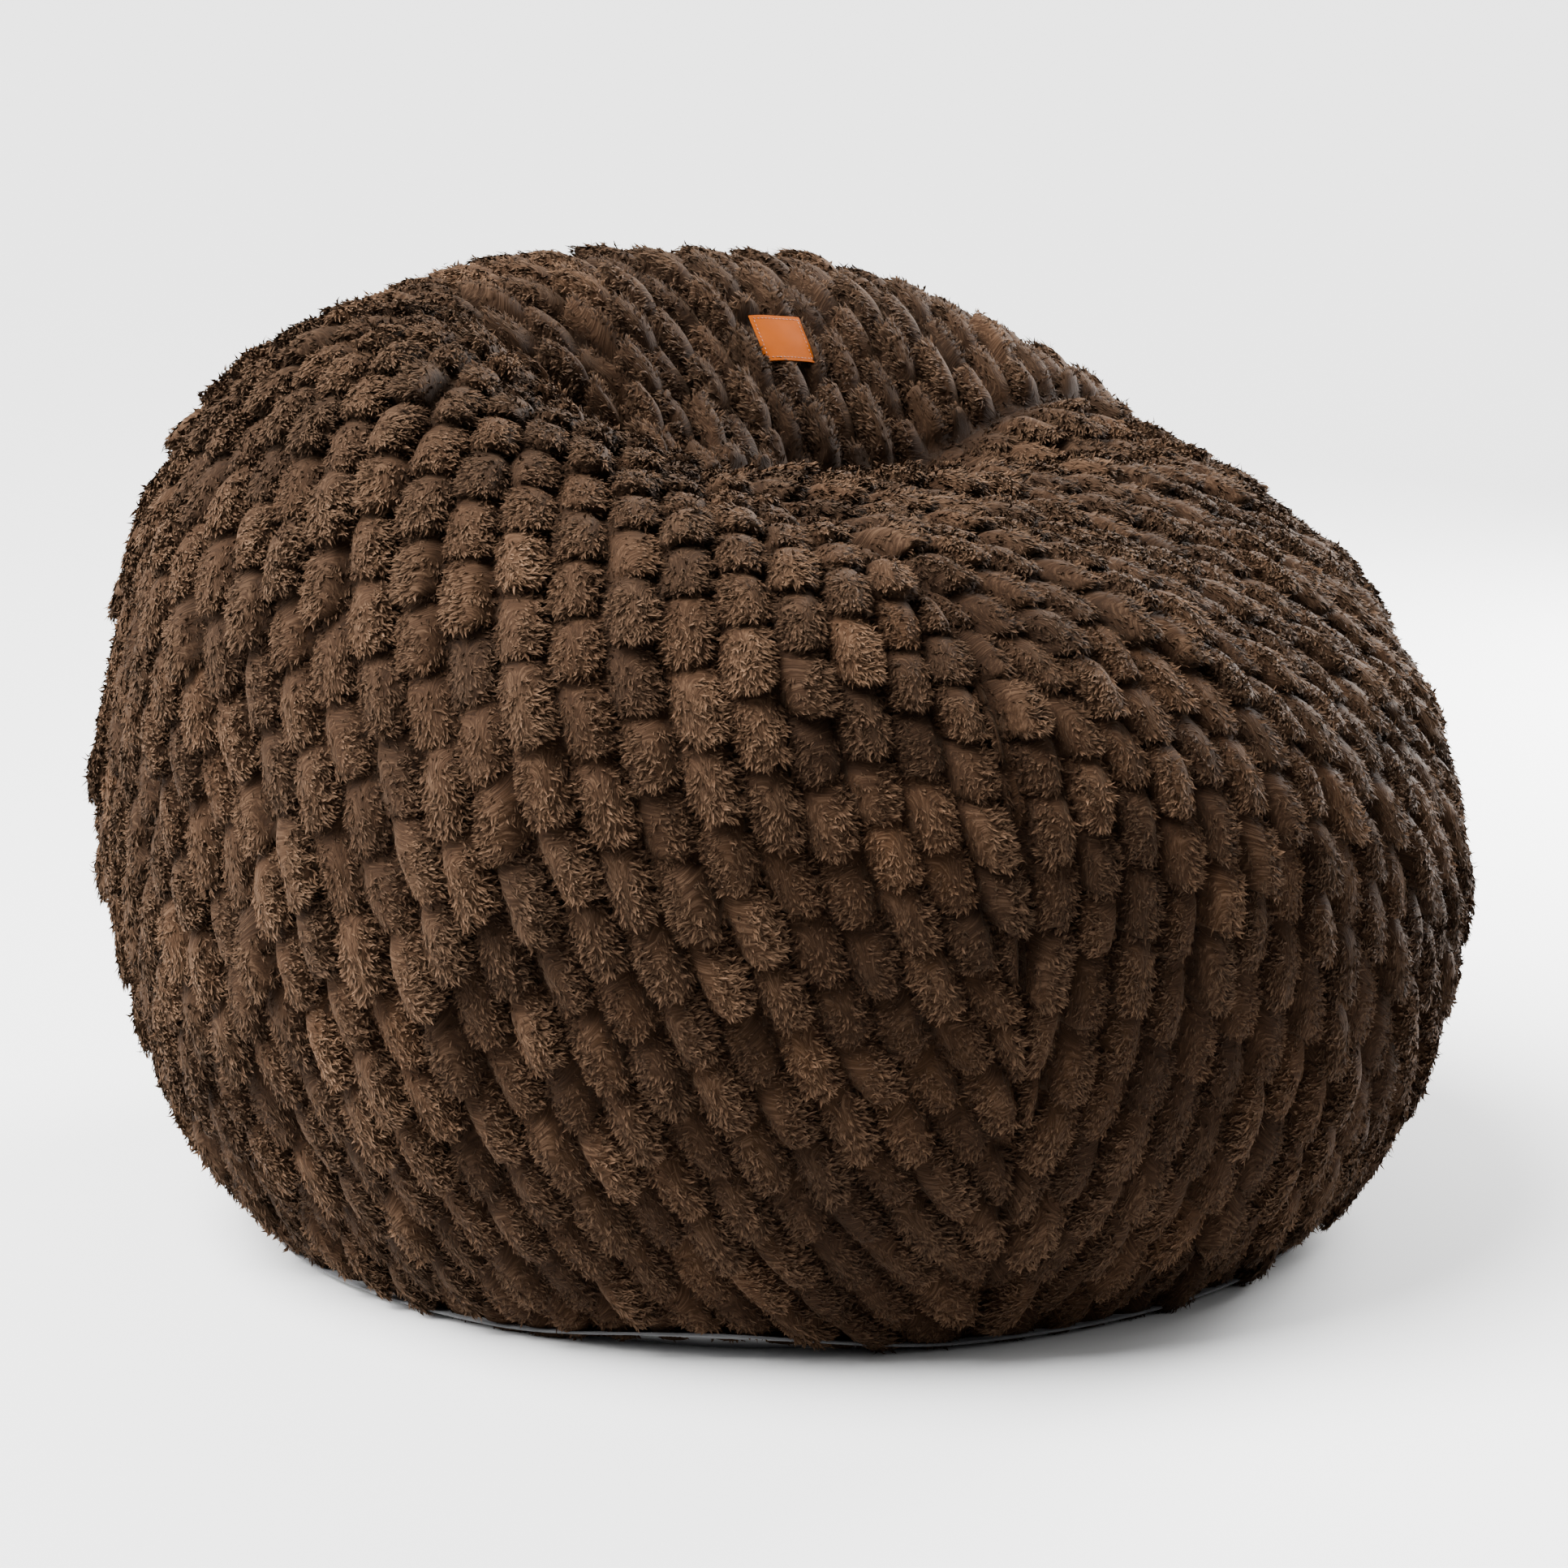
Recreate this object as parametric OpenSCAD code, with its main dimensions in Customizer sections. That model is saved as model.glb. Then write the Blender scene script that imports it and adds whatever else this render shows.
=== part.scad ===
// Plush bean bag chair: a three-gore faux-fur cover over a zipped inner liner with a foam fill.
// Millimetres. Z is up, the floor is z = 0, the seat faces -Y and the bag's right side is +X.

/* [Bag] */
// Width of the filled bag at its widest, left to right
body_w = 970; // [800:1:1200]
// Depth of the filled bag at its widest, front to back
body_d = 970; // [800:1:1200]
// Height of the highest crest, behind the seat
body_h = 672; // [560:1:820]
// Diameter of the flat base that rests on the floor
foot_d = 760; // [600:1:790]

/* [Seat hollow] */
// How far the pinch where the gores meet lies below the highest crest
pinch_drop = 140; // [80:1:190]
// Pinch, towards the left from the middle
pinch_left = 99; // [40:1:140]
// Pinch, towards the front from the middle
pinch_front = 24; // [0:1:60]
// Depth of the crease that runs from the pinch to the right
crease_depth = 128; // [60:1:150]
// Half width of the crease on the lip side
crease_front = 80; // [60:1:110]
// Half width of the crease on the backrest side
crease_back = 104; // [80:1:140]
// Direction of the crease, in degrees from the right side towards the back
crease_turn = 14; // [5:1:25]

/* [Cover] */
// Thickness of the plush gores: backing cloth and pile
plush_t = 14; // [8:0.5:20]
// Thickness of the base cloth
base_t = 2.2; // [1.6:0.1:3]
// Direction of the front seam, in degrees from the right side
seam_turn = 263; // [250:1:275]

/* [Zip of the cover] */
// Distance from each end of the chain to the edge of the base
zip_margin = 100; // [70:1:180]
// Width of the opening between the two base cloths
zip_gap = 28; // [24:1:36]
// Height of the tape above the floor
zip_rise = 9; // [8:0.5:12]
// Width of one tape, without its teeth
tape_w = 18; // [14:1:20]
// Thickness of the tape
tape_t = 0.8; // [0.6:0.1:1.2]
// Distance from one tooth to the next
tooth_pitch = 4; // [3:0.5:6]
// Length of the slider
slider_l = 15; // [12:0.5:20]
// Length of the pull tab
tab_l = 27; // [20:1:32]

/* [Inner liner] */
// Thickness of the liner cloth
liner_t = 1.6; // [1.2:0.1:2.5]
// Distance from each end of the liner's chain to the edge of the base
liner_zip_margin = 150; // [110:1:220]

/* [Labels] */
// Width of the woven label on the backrest
label_w = 48; // [30:1:60]
// Height of the woven label
label_h = 40; // [30:1:55]
// Thickness of the woven label
label_t = 1.2; // [0.8:0.1:2]
// Width of the care label at the base seam
care_w = 32; // [25:1:40]
// Height of the care label
care_h = 46; // [35:1:60]

/* [Part shown] */
// Sub-part to draw, or all

/* [Hidden] */

// Clearances
cloth_gap = 0.5;      // between the cover, the liner and the fill
run_gap = 0.4;        // around a slider
pin_gap = 0.1;        // around the pull tab's pin

// Shape of the filled bag in eight directions: right, right back, back, left back, left, left front,
// front, right front. Each is a share of the size named beside it.
plan_share = [0.99, 1.01, 1, 0.99, 1.01, 1, 1, 1];            // of the half width
belt_share = [0.41, 0.42, 0.42, 0.47, 0.45, 0.46, 0.39, 0.34]; // height of the widest line, of crest_h
crest_share = [0.865, 0.97, 1, 0.98, 0.955, 0.87, 0.813, 0.83]; // height of the crest, of crest_h
shoulder = [2.4, 3.3, 2.75, 2.7, 3.1, 3.1, 2.8, 2.05];        // 2 is round, 4 is square
hollow_share = [0.205, 0.216, 0.217, 0.227, 0.226, 0.2, 0.136, 0.15]; // radius of the pinch's hollow
lower_round = 2.3;    // roundness of the side below the widest line
belt_at = 0.36;       // share of a gore's run, from base to pinch, that lies below the widest line

// Mesh of the soft shells
cols = 18;            // per gore, around
rows = 18;            // from the base to the pinch

half_w = body_w / 2;
crest_h = 1.027 * body_h; // the crest before the hollow is pressed in, which lowers it
deep = body_d / body_w;
foot_r = foot_d / 2;
pinch = [-pinch_left, -pinch_front];
pinch_z = body_h - pinch_drop;

function smooth(a, b, x) = let (t = max(0, min(1, (x - a) / (b - a)))) t * t * (3 - 2 * t);

// A smooth closed curve through eight values, one every 45 degrees
function around(v, turn) =
    let (u = (turn % 360 + 360) % 360 / 45, i = floor(u), f = u - i,
        a = v[(i + 7) % 8], b = v[i % 8], c = v[(i + 1) % 8], d = v[(i + 2) % 8])
    b + 0.5 * f * (c - a + f * (2 * a - 5 * b + 4 * c - d + f * (3 * (b - c) + d - a)));

// The bag's surface: run goes from 0 at the base to 1 at the pinch, turn is the direction
function below_belt(run, r_max, belt) =
    let (a0 = acos(pow(foot_r / r_max, lower_round / 2)), a = a0 * (1 - run / belt_at))
    [r_max * pow(cos(a), 2 / lower_round), belt * (1 - pow(sin(a) / sin(a0), 2 / lower_round))];

function above_belt(run, r_max, n) =
    let (a = 90 * (run - belt_at) / (1 - belt_at))
    [r_max * pow(max(0, cos(a)), 2 / n), pow(sin(a), 2 / n)];

function crease_at(dx, dy, rise) =
    let (u = dx * cos(crease_turn) + dy * sin(crease_turn), v = dy * cos(crease_turn) - dx * sin(crease_turn),
        w = v > 0 ? crease_back : crease_front,
        along = smooth(-20, 110, u) * (1 - 0.89 * smooth(half_w * 0.41, half_w, u)))
    exp(-pow(v / w, 2)) * along * rise;

function bag_raw(run, turn) =
    let (r_max = half_w * around(plan_share, turn), belt = crest_h * around(belt_share, turn),
        crest = crest_h * around(crest_share, turn), n = around(shoulder, turn),
        low = run < belt_at,
        p = low ? below_belt(run, r_max, belt) : above_belt(run, r_max, n),
        s = low ? 0 : smooth(1, 0.25, p[0] / r_max),
        x = p[0] * cos(turn) + pinch[0] * s, y = p[0] * sin(turn) + pinch[1] * s,
        hollow = exp(-pow(p[0] / (half_w * around(hollow_share, turn)), 2)),
        full = belt + (crest - belt) * p[1],
        drop = hollow * (full - pinch_z)
            + (1 - hollow) * crease_depth * crease_at(x - pinch[0], y - pinch[1], p[1]),
        z = low ? p[1] : full - drop)
    [x, y * deep, base_t + z * (body_h - base_t) / body_h];

// The filled bag is centred on the origin
edge_x = [for (a = [0:360 / (3 * cols):359.9]) bag_raw(belt_at, seam_turn + a)[0]];
edge_y = [for (a = [0:360 / (3 * cols):359.9]) bag_raw(belt_at, seam_turn + a)[1]];
shift = [-(max(edge_x) + min(edge_x)) / 2, -(max(edge_y) + min(edge_y)) / 2, 0];

function bag(run, turn) = bag_raw(run, turn) + shift;
function normal(run, turn) =
    run > 0.999 ? [0, 0, 1] :
    let (e = 0.004, lo = max(0, run - e), hi = min(1, run + e),
        n = cross(bag(run, turn + 0.5) - bag(run, turn - 0.5), bag(hi, turn) - bag(lo, turn)))
    n / norm(n);
function layer(run, turn, depth) = bag(run, turn) - depth * normal(run, turn);

// A row of points at one height of the run, across the directions given
function level(i, turns, depth) = [for (a = turns) layer(i / rows, a, depth)];
function flat_to(points, z) = [for (p = points) [p[0], p[1], z]];

// Two-sided sheet through the levels outer and inner, both ending at a point
function strip(w, i, j, flip) =
    let (a = i * w + j, b = a + 1, c = a + w + 1, d = a + w)
    flip ? [[a, b, c], [a, c, d]] : [[a, c, b], [a, d, c]];

module sheet(outer, inner) {
    w = len(outer[0]);
    n = len(outer) - 1;                 // the last level is a single point
    top_o = n * w;
    base_i = top_o + 1;
    top_i = base_i + n * w;
    points = concat([for (r = [0:n - 1]) each outer[r]], [outer[n][0]],
        [for (r = [0:n - 1]) each inner[r]], [inner[n][0]]);
    function shifted(faces, by) = [for (f = faces) [for (v = f) v + by]];
    faces = concat(
        [for (r = [0:n - 2], j = [0:w - 2]) each strip(w, r, j, false)],
        [for (j = [0:w - 2]) [(n - 1) * w + j, top_o, (n - 1) * w + j + 1]],
        [for (r = [0:n - 2], j = [0:w - 2]) each shifted(strip(w, r, j, true), base_i)],
        [for (j = [0:w - 2]) [base_i + (n - 1) * w + j, base_i + (n - 1) * w + j + 1, top_i]],
        [for (j = [0:w - 2]) each [[j, j + 1, base_i + j + 1], [j, base_i + j + 1, base_i + j]]],
        [for (s = [0, w - 1]) for (r = [0:n - 1])
            let (a = r * w + s, b = r == n - 1 ? top_o : a + w,
                c = base_i + r * w + s, d = r == n - 1 ? top_i : c + w)
            each (s == 0 ? [[a, c, d], [a, d, b]] : [[a, d, c], [a, b, d]])]);
    polyhedron(points = points, faces = faces, convexity = 6);
}

function gore_turns(k) = [for (j = [0:cols]) seam_turn + 120 * k + 120 * j / cols];

module cover_gore(k) {
    turns = gore_turns(k);
    sheet([for (i = [0:rows]) level(i, turns, 0)], [for (i = [0:rows]) level(i, turns, plush_t)]);
}

// Heights of the layers at the base
liner_low = base_t + run_gap;
liner_high = liner_low + liner_t;
fill_low = liner_high + cloth_gap;

// Cover chain
tape_mid = zip_rise + tape_t / 2;
tooth_in = 0.9;       // from the middle line to the tip of a tooth
tooth_root = 2.6;
tooth_out = 4;        // where the tape begins
tooth_h = 2.6;
stop_l = 3;
plate_t = 1.2;        // slider plates
plate_w = 6.5;        // half width of the slider
zip_l = foot_d - 2 * zip_margin;
slot_end = zip_l / 2 + tab_l + 10;
flange_t = 2;

// Liner chain, in the roof of the liner's channel
slider_top = tape_mid + tooth_h / 2 + run_gap + plate_t;
roof_low = slider_top + 1.4;
roof_high = roof_low + liner_t;
coil_mid = roof_high + tape_t / 2;
coil_h = 2;
coil_out = 3;
liner_slot = 5;       // half width of the slot in the roof
liner_tape_w = 12;
channel_w = zip_gap / 2 + tape_w - 8 + 4; // half width of the liner's channel, inside
groove_high = coil_mid + coil_h / 2 + run_gap + plate_t + 1.2;

module cover_gore_left() { color([0.30, 0.22, 0.16]) cover_gore(2); }
module cover_gore_right() { color([0.36, 0.27, 0.20]) cover_gore(0); }
module cover_gore_back() { color([0.33, 0.25, 0.18]) cover_gore(1); }

// Half of the base cloth, with its edge turned up beside the zip
module base_half(side) {
    r = foot_r - 1;
    linear_extrude(base_t) difference() {
        intersection() {
            translate([shift[0], shift[1]]) scale([1, deep]) circle(r, $fn = 96);
            translate([-body_w / 2, side > 0 ? 0 : -body_d / 2]) square([body_w, body_d / 2]);
        }
        translate([-slot_end, -zip_gap / 2]) square([2 * slot_end, zip_gap]);
    }
    translate([0, 0, base_t]) linear_extrude(zip_rise - base_t) difference() {
        translate([-slot_end - flange_t, side > 0 ? 0 : -zip_gap / 2 - flange_t])
            square([2 * (slot_end + flange_t), zip_gap / 2 + flange_t]);
        translate([-slot_end, -zip_gap / 2]) square([2 * slot_end, zip_gap]);
    }
}
module base_panel_front() { color([0.42, 0.42, 0.43]) base_half(-1); }
module base_panel_rear() { color([0.46, 0.46, 0.47]) base_half(1); }

module tape(side, z, from, w, l) {
    translate([-l / 2, side > 0 ? from : -from - w, z]) cube([l, w, tape_t]);
}
module zip_tape_front() { color([0.12, 0.12, 0.13]) tape(-1, zip_rise, tooth_out, tape_w, zip_l + 2 * stop_l); }
module zip_tape_rear() { color([0.14, 0.14, 0.15]) tape(1, zip_rise, tooth_out, tape_w, zip_l + 2 * stop_l); }

// One row of teeth: a comb standing on the tape's edge
function comb(n, pitch, l, inner, root, outer) = concat(
    [[-l / 2, outer], [-l / 2, root]],
    [for (i = [0:n - 1]) let (x = -l / 2 + pitch * (i + 0.25))
        each [[x, root], [x, inner], [x + pitch * 0.5, inner], [x + pitch * 0.5, root]]],
    [[l / 2, root], [l / 2, outer]]);

module teeth_row(side) {
    n = floor(zip_l / tooth_pitch);
    mirror([0, side > 0 ? 0 : 1, 0]) translate([0, 0, tape_mid - tooth_h / 2]) linear_extrude(tooth_h)
        polygon(comb(n, tooth_pitch, zip_l, tooth_in, tooth_root, tooth_out));
}
module zip_teeth_front() { color([0.10, 0.10, 0.10]) teeth_row(-1); }
module zip_teeth_rear() { color([0.10, 0.10, 0.10]) teeth_row(1); }

// Stops: one block across both rows at the open end, a short block on each row at the closed end
module chain_stops(l, mid, h, inner, outer) {
    translate([-l / 2 - stop_l, -outer, mid - h / 2]) cube([stop_l, 2 * outer, h]);
    for (side = [0, 1]) mirror([0, side, 0])
        translate([l / 2, inner, mid - h / 2]) cube([stop_l, outer - inner, h]);
}
module zip_stops() { color([0.55, 0.55, 0.57]) chain_stops(zip_l, tape_mid, tooth_h, tooth_in, tooth_out); }

// Slider around a chain; home is where it sits when the zip is closed
module slider_body(home, mid, chain_h, l, half, inner, skirt) {
    low = mid - chain_h / 2 - run_gap;
    high = mid + chain_h / 2 + run_gap;
    for (z = [low - plate_t, high]) translate([home - l / 2, -half, z]) cube([l, 2 * half, plate_t]);
    translate([home + l / 2 - 5, -(inner - run_gap / 2), low - 0.01])
        cube([4, 2 * inner - run_gap, high - low + 0.02]);
    if (skirt > 0) for (side = [0, 1]) mirror([0, side, 0]) {
        translate([home - l / 2, half - 1, low - 0.01]) cube([l, 1, mid - tape_t / 2 - run_gap - low]);
        translate([home - l / 2, half - 1, mid + tape_t / 2 + run_gap]) cube([l, 1, high - mid - tape_t / 2 - run_gap + 0.01]);
    }
}

slider_home = zip_l / 2 - slider_l / 2 - 0.5;
tab_w = 4.4;
lug_t = 1.2;
pin_r = 0.8;
plate_low = tape_mid - tooth_h / 2 - run_gap - plate_t;
pivot_z = plate_low - 1.7;
tab_t = 1.6;

module zip_slider() {
    color([0.62, 0.62, 0.64]) difference() {
        union() {
            slider_body(slider_home, tape_mid, tooth_h, slider_l, plate_w, tooth_in, 1);
            for (side = [0, 1]) mirror([0, side, 0])
                translate([slider_home - 1.7, tab_w / 2 + 0.2, pivot_z - 1.5]) cube([3.4, lug_t, plate_low - pivot_z + 1.51]);
        }
        translate([slider_home, 0, pivot_z]) rotate([90, 0, 0])
            cylinder(r = pin_r + pin_gap, h = 2 * plate_w, center = true, $fn = 32);
    }
}

module zip_pull_tab() {
    color([0.58, 0.58, 0.60]) translate([slider_home, 0, pivot_z]) {
        rotate([90, 0, 0]) cylinder(r = pin_r, h = tab_w + 0.4 + 2 * lug_t, center = true, $fn = 32);
        rotate([90, 0, 0]) cylinder(r = 1.3, h = tab_w, center = true, $fn = 32);
        translate([-9, -tab_w / 2, -tab_t / 2]) cube([9, tab_w, tab_t]);
        translate([0, 0, -tab_t / 2]) linear_extrude(tab_t) difference() {
            union() {
                translate([-tab_l + 4.5, -4.5]) square([tab_l - 13, 9]);
                translate([-tab_l + 4.5, 0]) circle(4.5, $fn = 40);
            }
            translate([-tab_l + 5, 0]) circle(1.8, $fn = 32);
        }
    }
}

// A frame on the bag's surface for flat labels
module on_bag(run, turn, spin, lift) {
    p = bag(run, turn);
    z = normal(run, turn);
    up = [cos(spin), sin(spin), 0];
    x0 = cross(up, z);
    x = x0 / norm(x0);
    y = cross(z, x);
    multmatrix([[x[0], y[0], z[0], p[0] + lift * z[0]], [x[1], y[1], z[1], p[1] + lift * z[1]],
        [x[2], y[2], z[2], p[2] + lift * z[2]], [0, 0, 0, 1]]) children();
}
label_run = 0.911;
label_turn = 45.5;
label_spin = 104;      // the label's upright follows the pile on the backrest
label_lift = 2.5;
module brand_label() {
    color([0.86, 0.40, 0.14]) on_bag(label_run, label_turn, label_spin, label_lift)
        translate([-label_w / 2, -label_h / 2, 0]) cube([label_w, label_h, label_t]);
}
module label_stitching() {
    stitch = 2.4;
    edge = 2.2;
    nx = floor((label_w - 2 * edge) / (2 * stitch));
    ny = floor((label_h - 2 * edge) / (2 * stitch));
    color([0.80, 0.36, 0.12]) on_bag(label_run, label_turn, label_spin, label_lift + label_t) {
        for (s = [-1, 1]) {
            for (i = [0:nx - 1]) translate([(i - (nx - 1) / 2) * 2 * stitch - stitch / 2, s * (label_h / 2 - edge) - 0.3, 0])
                cube([stitch, 0.6, 0.35]);
            for (i = [0:ny - 1]) translate([s * (label_w / 2 - edge) - 0.3, (i - (ny - 1) / 2) * 2 * stitch - stitch / 2, 0])
                cube([0.6, stitch, 0.35]);
        }
    }
}

care_turn = 62;
module care_label() {
    color([0.93, 0.93, 0.91]) on_bag(0.055, care_turn, care_turn, 1)
        translate([-care_w / 2, -care_h / 2, 0]) cube([care_w, care_h, 1]);
}

liner_out = plush_t + cloth_gap;
liner_in = liner_out + liner_t;
module liner_gore(k) {
    turns = gore_turns(k);
    function side(depth) = concat([flat_to(level(0, turns, depth), liner_high)],
        [for (i = [0:rows]) level(i, turns, depth)]);
    sheet(side(liner_out), side(liner_in));
}
module liner_gore_left() { color([0.80, 0.80, 0.78]) liner_gore(2); }
module liner_gore_right() { color([0.84, 0.84, 0.82]) liner_gore(0); }
module liner_gore_back() { color([0.82, 0.82, 0.80]) liner_gore(1); }

liner_zip_l = foot_d - 2 * liner_zip_margin;
channel_end = slot_end + flange_t + 6;
// The liner's base ends where its gores stand on it
liner_ring = [for (k = [0:2], j = [0:cols - 1])
    let (p = layer(0, seam_turn + 120 * k + 120 * j / cols, liner_out)) [p[0], p[1]]];
module liner_base() {
    color([0.78, 0.78, 0.76]) {
        translate([0, 0, liner_low]) linear_extrude(liner_t) difference() {
            polygon(liner_ring);
            translate([-channel_end, -channel_w]) square([2 * channel_end, 2 * channel_w]);
        }
        translate([0, 0, liner_low]) linear_extrude(roof_high - liner_low) difference() {
            translate([-channel_end - liner_t, -channel_w - liner_t])
                square([2 * (channel_end + liner_t), 2 * (channel_w + liner_t)]);
            translate([-channel_end, -channel_w]) square([2 * channel_end, 2 * channel_w]);
        }
        translate([0, 0, roof_low]) linear_extrude(liner_t) difference() {
            translate([-channel_end, -channel_w]) square([2 * channel_end, 2 * channel_w]);
            translate([-liner_zip_l / 2 - 6, -liner_slot]) square([liner_zip_l + 12, 2 * liner_slot]);
        }
    }
}
module liner_zip_tape_front() { color([0.72, 0.72, 0.70]) tape(-1, roof_high, coil_out, liner_tape_w, liner_zip_l + 2 * stop_l); }
module liner_zip_tape_rear() { color([0.72, 0.72, 0.70]) tape(1, roof_high, coil_out, liner_tape_w, liner_zip_l + 2 * stop_l); }
module coil_row(side) {
    translate([-liner_zip_l / 2, side > 0 ? tooth_in : -coil_out, coil_mid - coil_h / 2])
        cube([liner_zip_l, coil_out - tooth_in, coil_h]);
}
module liner_coil_front() { color([0.88, 0.88, 0.86]) coil_row(-1); }
module liner_coil_rear() { color([0.88, 0.88, 0.86]) coil_row(1); }
module liner_zip_stops() { color([0.60, 0.60, 0.62]) chain_stops(liner_zip_l, coil_mid, coil_h, tooth_in, coil_out); }
module liner_zip_slider() {
    color([0.60, 0.60, 0.62])
        slider_body(liner_zip_l / 2 - 6.5, coil_mid, coil_h, 12, liner_slot - run_gap, tooth_in, 0);
}

// The loose fill as one closed body, with a groove over the liner's channel
module foam_fill() {
    depth = liner_in + cloth_gap;
    turns = [for (j = [0:3 * cols - 1]) seam_turn + 120 * j / cols];
    w = len(turns);
    levels = concat([flat_to(level(0, turns, depth), fill_low)], [for (i = [0:rows - 1]) level(i, turns, depth)]);
    n = len(levels);
    points = concat([for (l = levels) each l], [layer(1, 0, depth), [shift[0], shift[1], fill_low]]);
    color([0.93, 0.86, 0.55]) difference() {
        polyhedron(points = points, convexity = 6, faces = concat(
            [for (r = [0:n - 2], j = [0:w - 1]) let (a = r * w + j, b = r * w + (j + 1) % w)
                each [[a, b + w, b], [a, a + w, b + w]]],
            [for (j = [0:w - 1]) [(n - 1) * w + j, n * w, (n - 1) * w + (j + 1) % w]],
            [for (j = [0:w - 1]) [n * w + 1, j, (j + 1) % w]]));
        translate([-channel_end - liner_t - cloth_gap, -channel_w - liner_t - cloth_gap, 0])
            cube([2 * (channel_end + liner_t + cloth_gap), 2 * (channel_w + liner_t + cloth_gap), groove_high]);
    }
}

cover_gore_left();
cover_gore_right();
cover_gore_back();
base_panel_front();
base_panel_rear();
zip_tape_front();
zip_tape_rear();
zip_teeth_front();
zip_teeth_rear();
zip_stops();
zip_slider();
zip_pull_tab();
brand_label();
label_stitching();
care_label();
liner_gore_left();
liner_gore_right();
liner_gore_back();
liner_base();
liner_zip_tape_front();
liner_zip_tape_rear();
liner_coil_front();
liner_coil_rear();
liner_zip_stops();
liner_zip_slider();
foam_fill();
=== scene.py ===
import math
import bmesh
import bpy
import numpy as np
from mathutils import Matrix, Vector


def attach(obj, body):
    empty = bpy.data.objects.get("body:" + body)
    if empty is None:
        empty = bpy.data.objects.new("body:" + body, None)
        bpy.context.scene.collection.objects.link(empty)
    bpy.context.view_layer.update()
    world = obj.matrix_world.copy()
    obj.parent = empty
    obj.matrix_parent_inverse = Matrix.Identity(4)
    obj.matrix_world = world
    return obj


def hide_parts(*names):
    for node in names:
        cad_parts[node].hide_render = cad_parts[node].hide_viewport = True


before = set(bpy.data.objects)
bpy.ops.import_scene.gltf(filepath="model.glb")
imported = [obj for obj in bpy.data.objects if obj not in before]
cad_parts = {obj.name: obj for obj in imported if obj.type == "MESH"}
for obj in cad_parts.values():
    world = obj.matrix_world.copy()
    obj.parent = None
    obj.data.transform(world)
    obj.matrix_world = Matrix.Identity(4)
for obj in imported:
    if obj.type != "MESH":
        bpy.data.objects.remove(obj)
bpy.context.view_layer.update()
rng = np.random.default_rng(20)


bagForm = {
    "width": 0.970, "depth": 0.970, "height": 0.672, "footDiameter": 0.760,
    "baseCloth": 0.0022,
    "pinchDrop": 0.140, "pinchLeft": 0.099, "pinchFront": 0.024,      # where the gores meet
    "creaseDepth": 0.128, "creaseFront": 0.080, "creaseBack": 0.104, "creaseTurn": 14.0,
    "seamTurn": 263.0,                                                # direction of the front seam
    "beltAt": 0.36, "lowerRound": 2.3,
    # shares in eight directions, from the right side round by the back
    "plan": [0.99, 1.01, 1, 0.99, 1.01, 1, 1, 1],
    "belt": [0.41, 0.42, 0.42, 0.47, 0.45, 0.46, 0.39, 0.34],
    "crest": [0.865, 0.97, 1, 0.98, 0.955, 0.87, 0.813, 0.83],
    "shoulder": [2.4, 3.3, 2.75, 2.7, 3.1, 3.1, 2.8, 2.05],
    "hollow": [0.205, 0.216, 0.217, 0.227, 0.226, 0.2, 0.136, 0.15],
}
halfWidth = bagForm["width"] / 2
crestHeight = 1.027 * bagForm["height"]
pinchHeight = bagForm["height"] - bagForm["pinchDrop"]


def smooth(a, b, x):
    t = np.clip((x - a) / (b - a), 0, 1)
    return t * t * (3 - 2 * t)


def around(values, turn):  # smooth closed curve through eight values
    v = np.asarray(values, float)
    u = (turn % 360) / 45
    i = np.floor(u).astype(int)
    f = u - i
    a, b, c, d = v[(i + 7) % 8], v[i % 8], v[(i + 1) % 8], v[(i + 2) % 8]
    return b + 0.5 * f * (c - a + f * (2 * a - 5 * b + 4 * c - d + f * (3 * (b - c) + d - a)))


def bagRaw(run, turn):  # run is 0 at the base and 1 at the pinch
    run, turn = np.broadcast_arrays(np.asarray(run, float), np.asarray(turn, float))
    form = bagForm
    rMax = halfWidth * around(form["plan"], turn)
    belt = crestHeight * around(form["belt"], turn)
    crest = crestHeight * around(form["crest"], turn)
    n = around(form["shoulder"], turn)
    low = run < form["beltAt"]
    k = form["lowerRound"]
    a0 = np.arccos((form["footDiameter"] / 2 / rMax) ** (k / 2))
    a = a0 * (1 - np.clip(run / form["beltAt"], 0, 1))
    rLow = rMax * np.cos(a) ** (2 / k)
    zLow = belt * (1 - (np.sin(a) / np.sin(a0)) ** (2 / k))
    b = math.pi / 2 * np.clip((run - form["beltAt"]) / (1 - form["beltAt"]), 0, 1)
    rise = np.sin(b) ** (2 / n)
    r = np.where(low, rLow, rMax * np.clip(np.cos(b), 0, 1) ** (2 / n))
    s = np.where(low, 0, smooth(1, 0.25, r / rMax))
    x = r * np.cos(np.radians(turn)) - form["pinchLeft"] * s
    y = r * np.sin(np.radians(turn)) - form["pinchFront"] * s
    hollow = np.exp(-(r / (halfWidth * around(form["hollow"], turn))) ** 2)
    full = belt + (crest - belt) * rise
    c = math.radians(form["creaseTurn"])
    dx, dy = x + form["pinchLeft"], y + form["pinchFront"]
    u = dx * math.cos(c) + dy * math.sin(c)
    v = dy * math.cos(c) - dx * math.sin(c)
    w = np.where(v > 0, form["creaseBack"], form["creaseFront"])
    along = smooth(-0.02, 0.11, u) * (1 - 0.89 * smooth(halfWidth * 0.41, halfWidth, u))
    crease = np.exp(-(v / w) ** 2) * along * rise
    z = full - hollow * (full - pinchHeight) - (1 - hollow) * form["creaseDepth"] * crease
    z = np.where(low, zLow, z)
    y = y * form["depth"] / form["width"]
    z = form["baseCloth"] + z * (form["height"] - form["baseCloth"]) / form["height"]
    return np.stack([x, y, z], -1)


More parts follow.
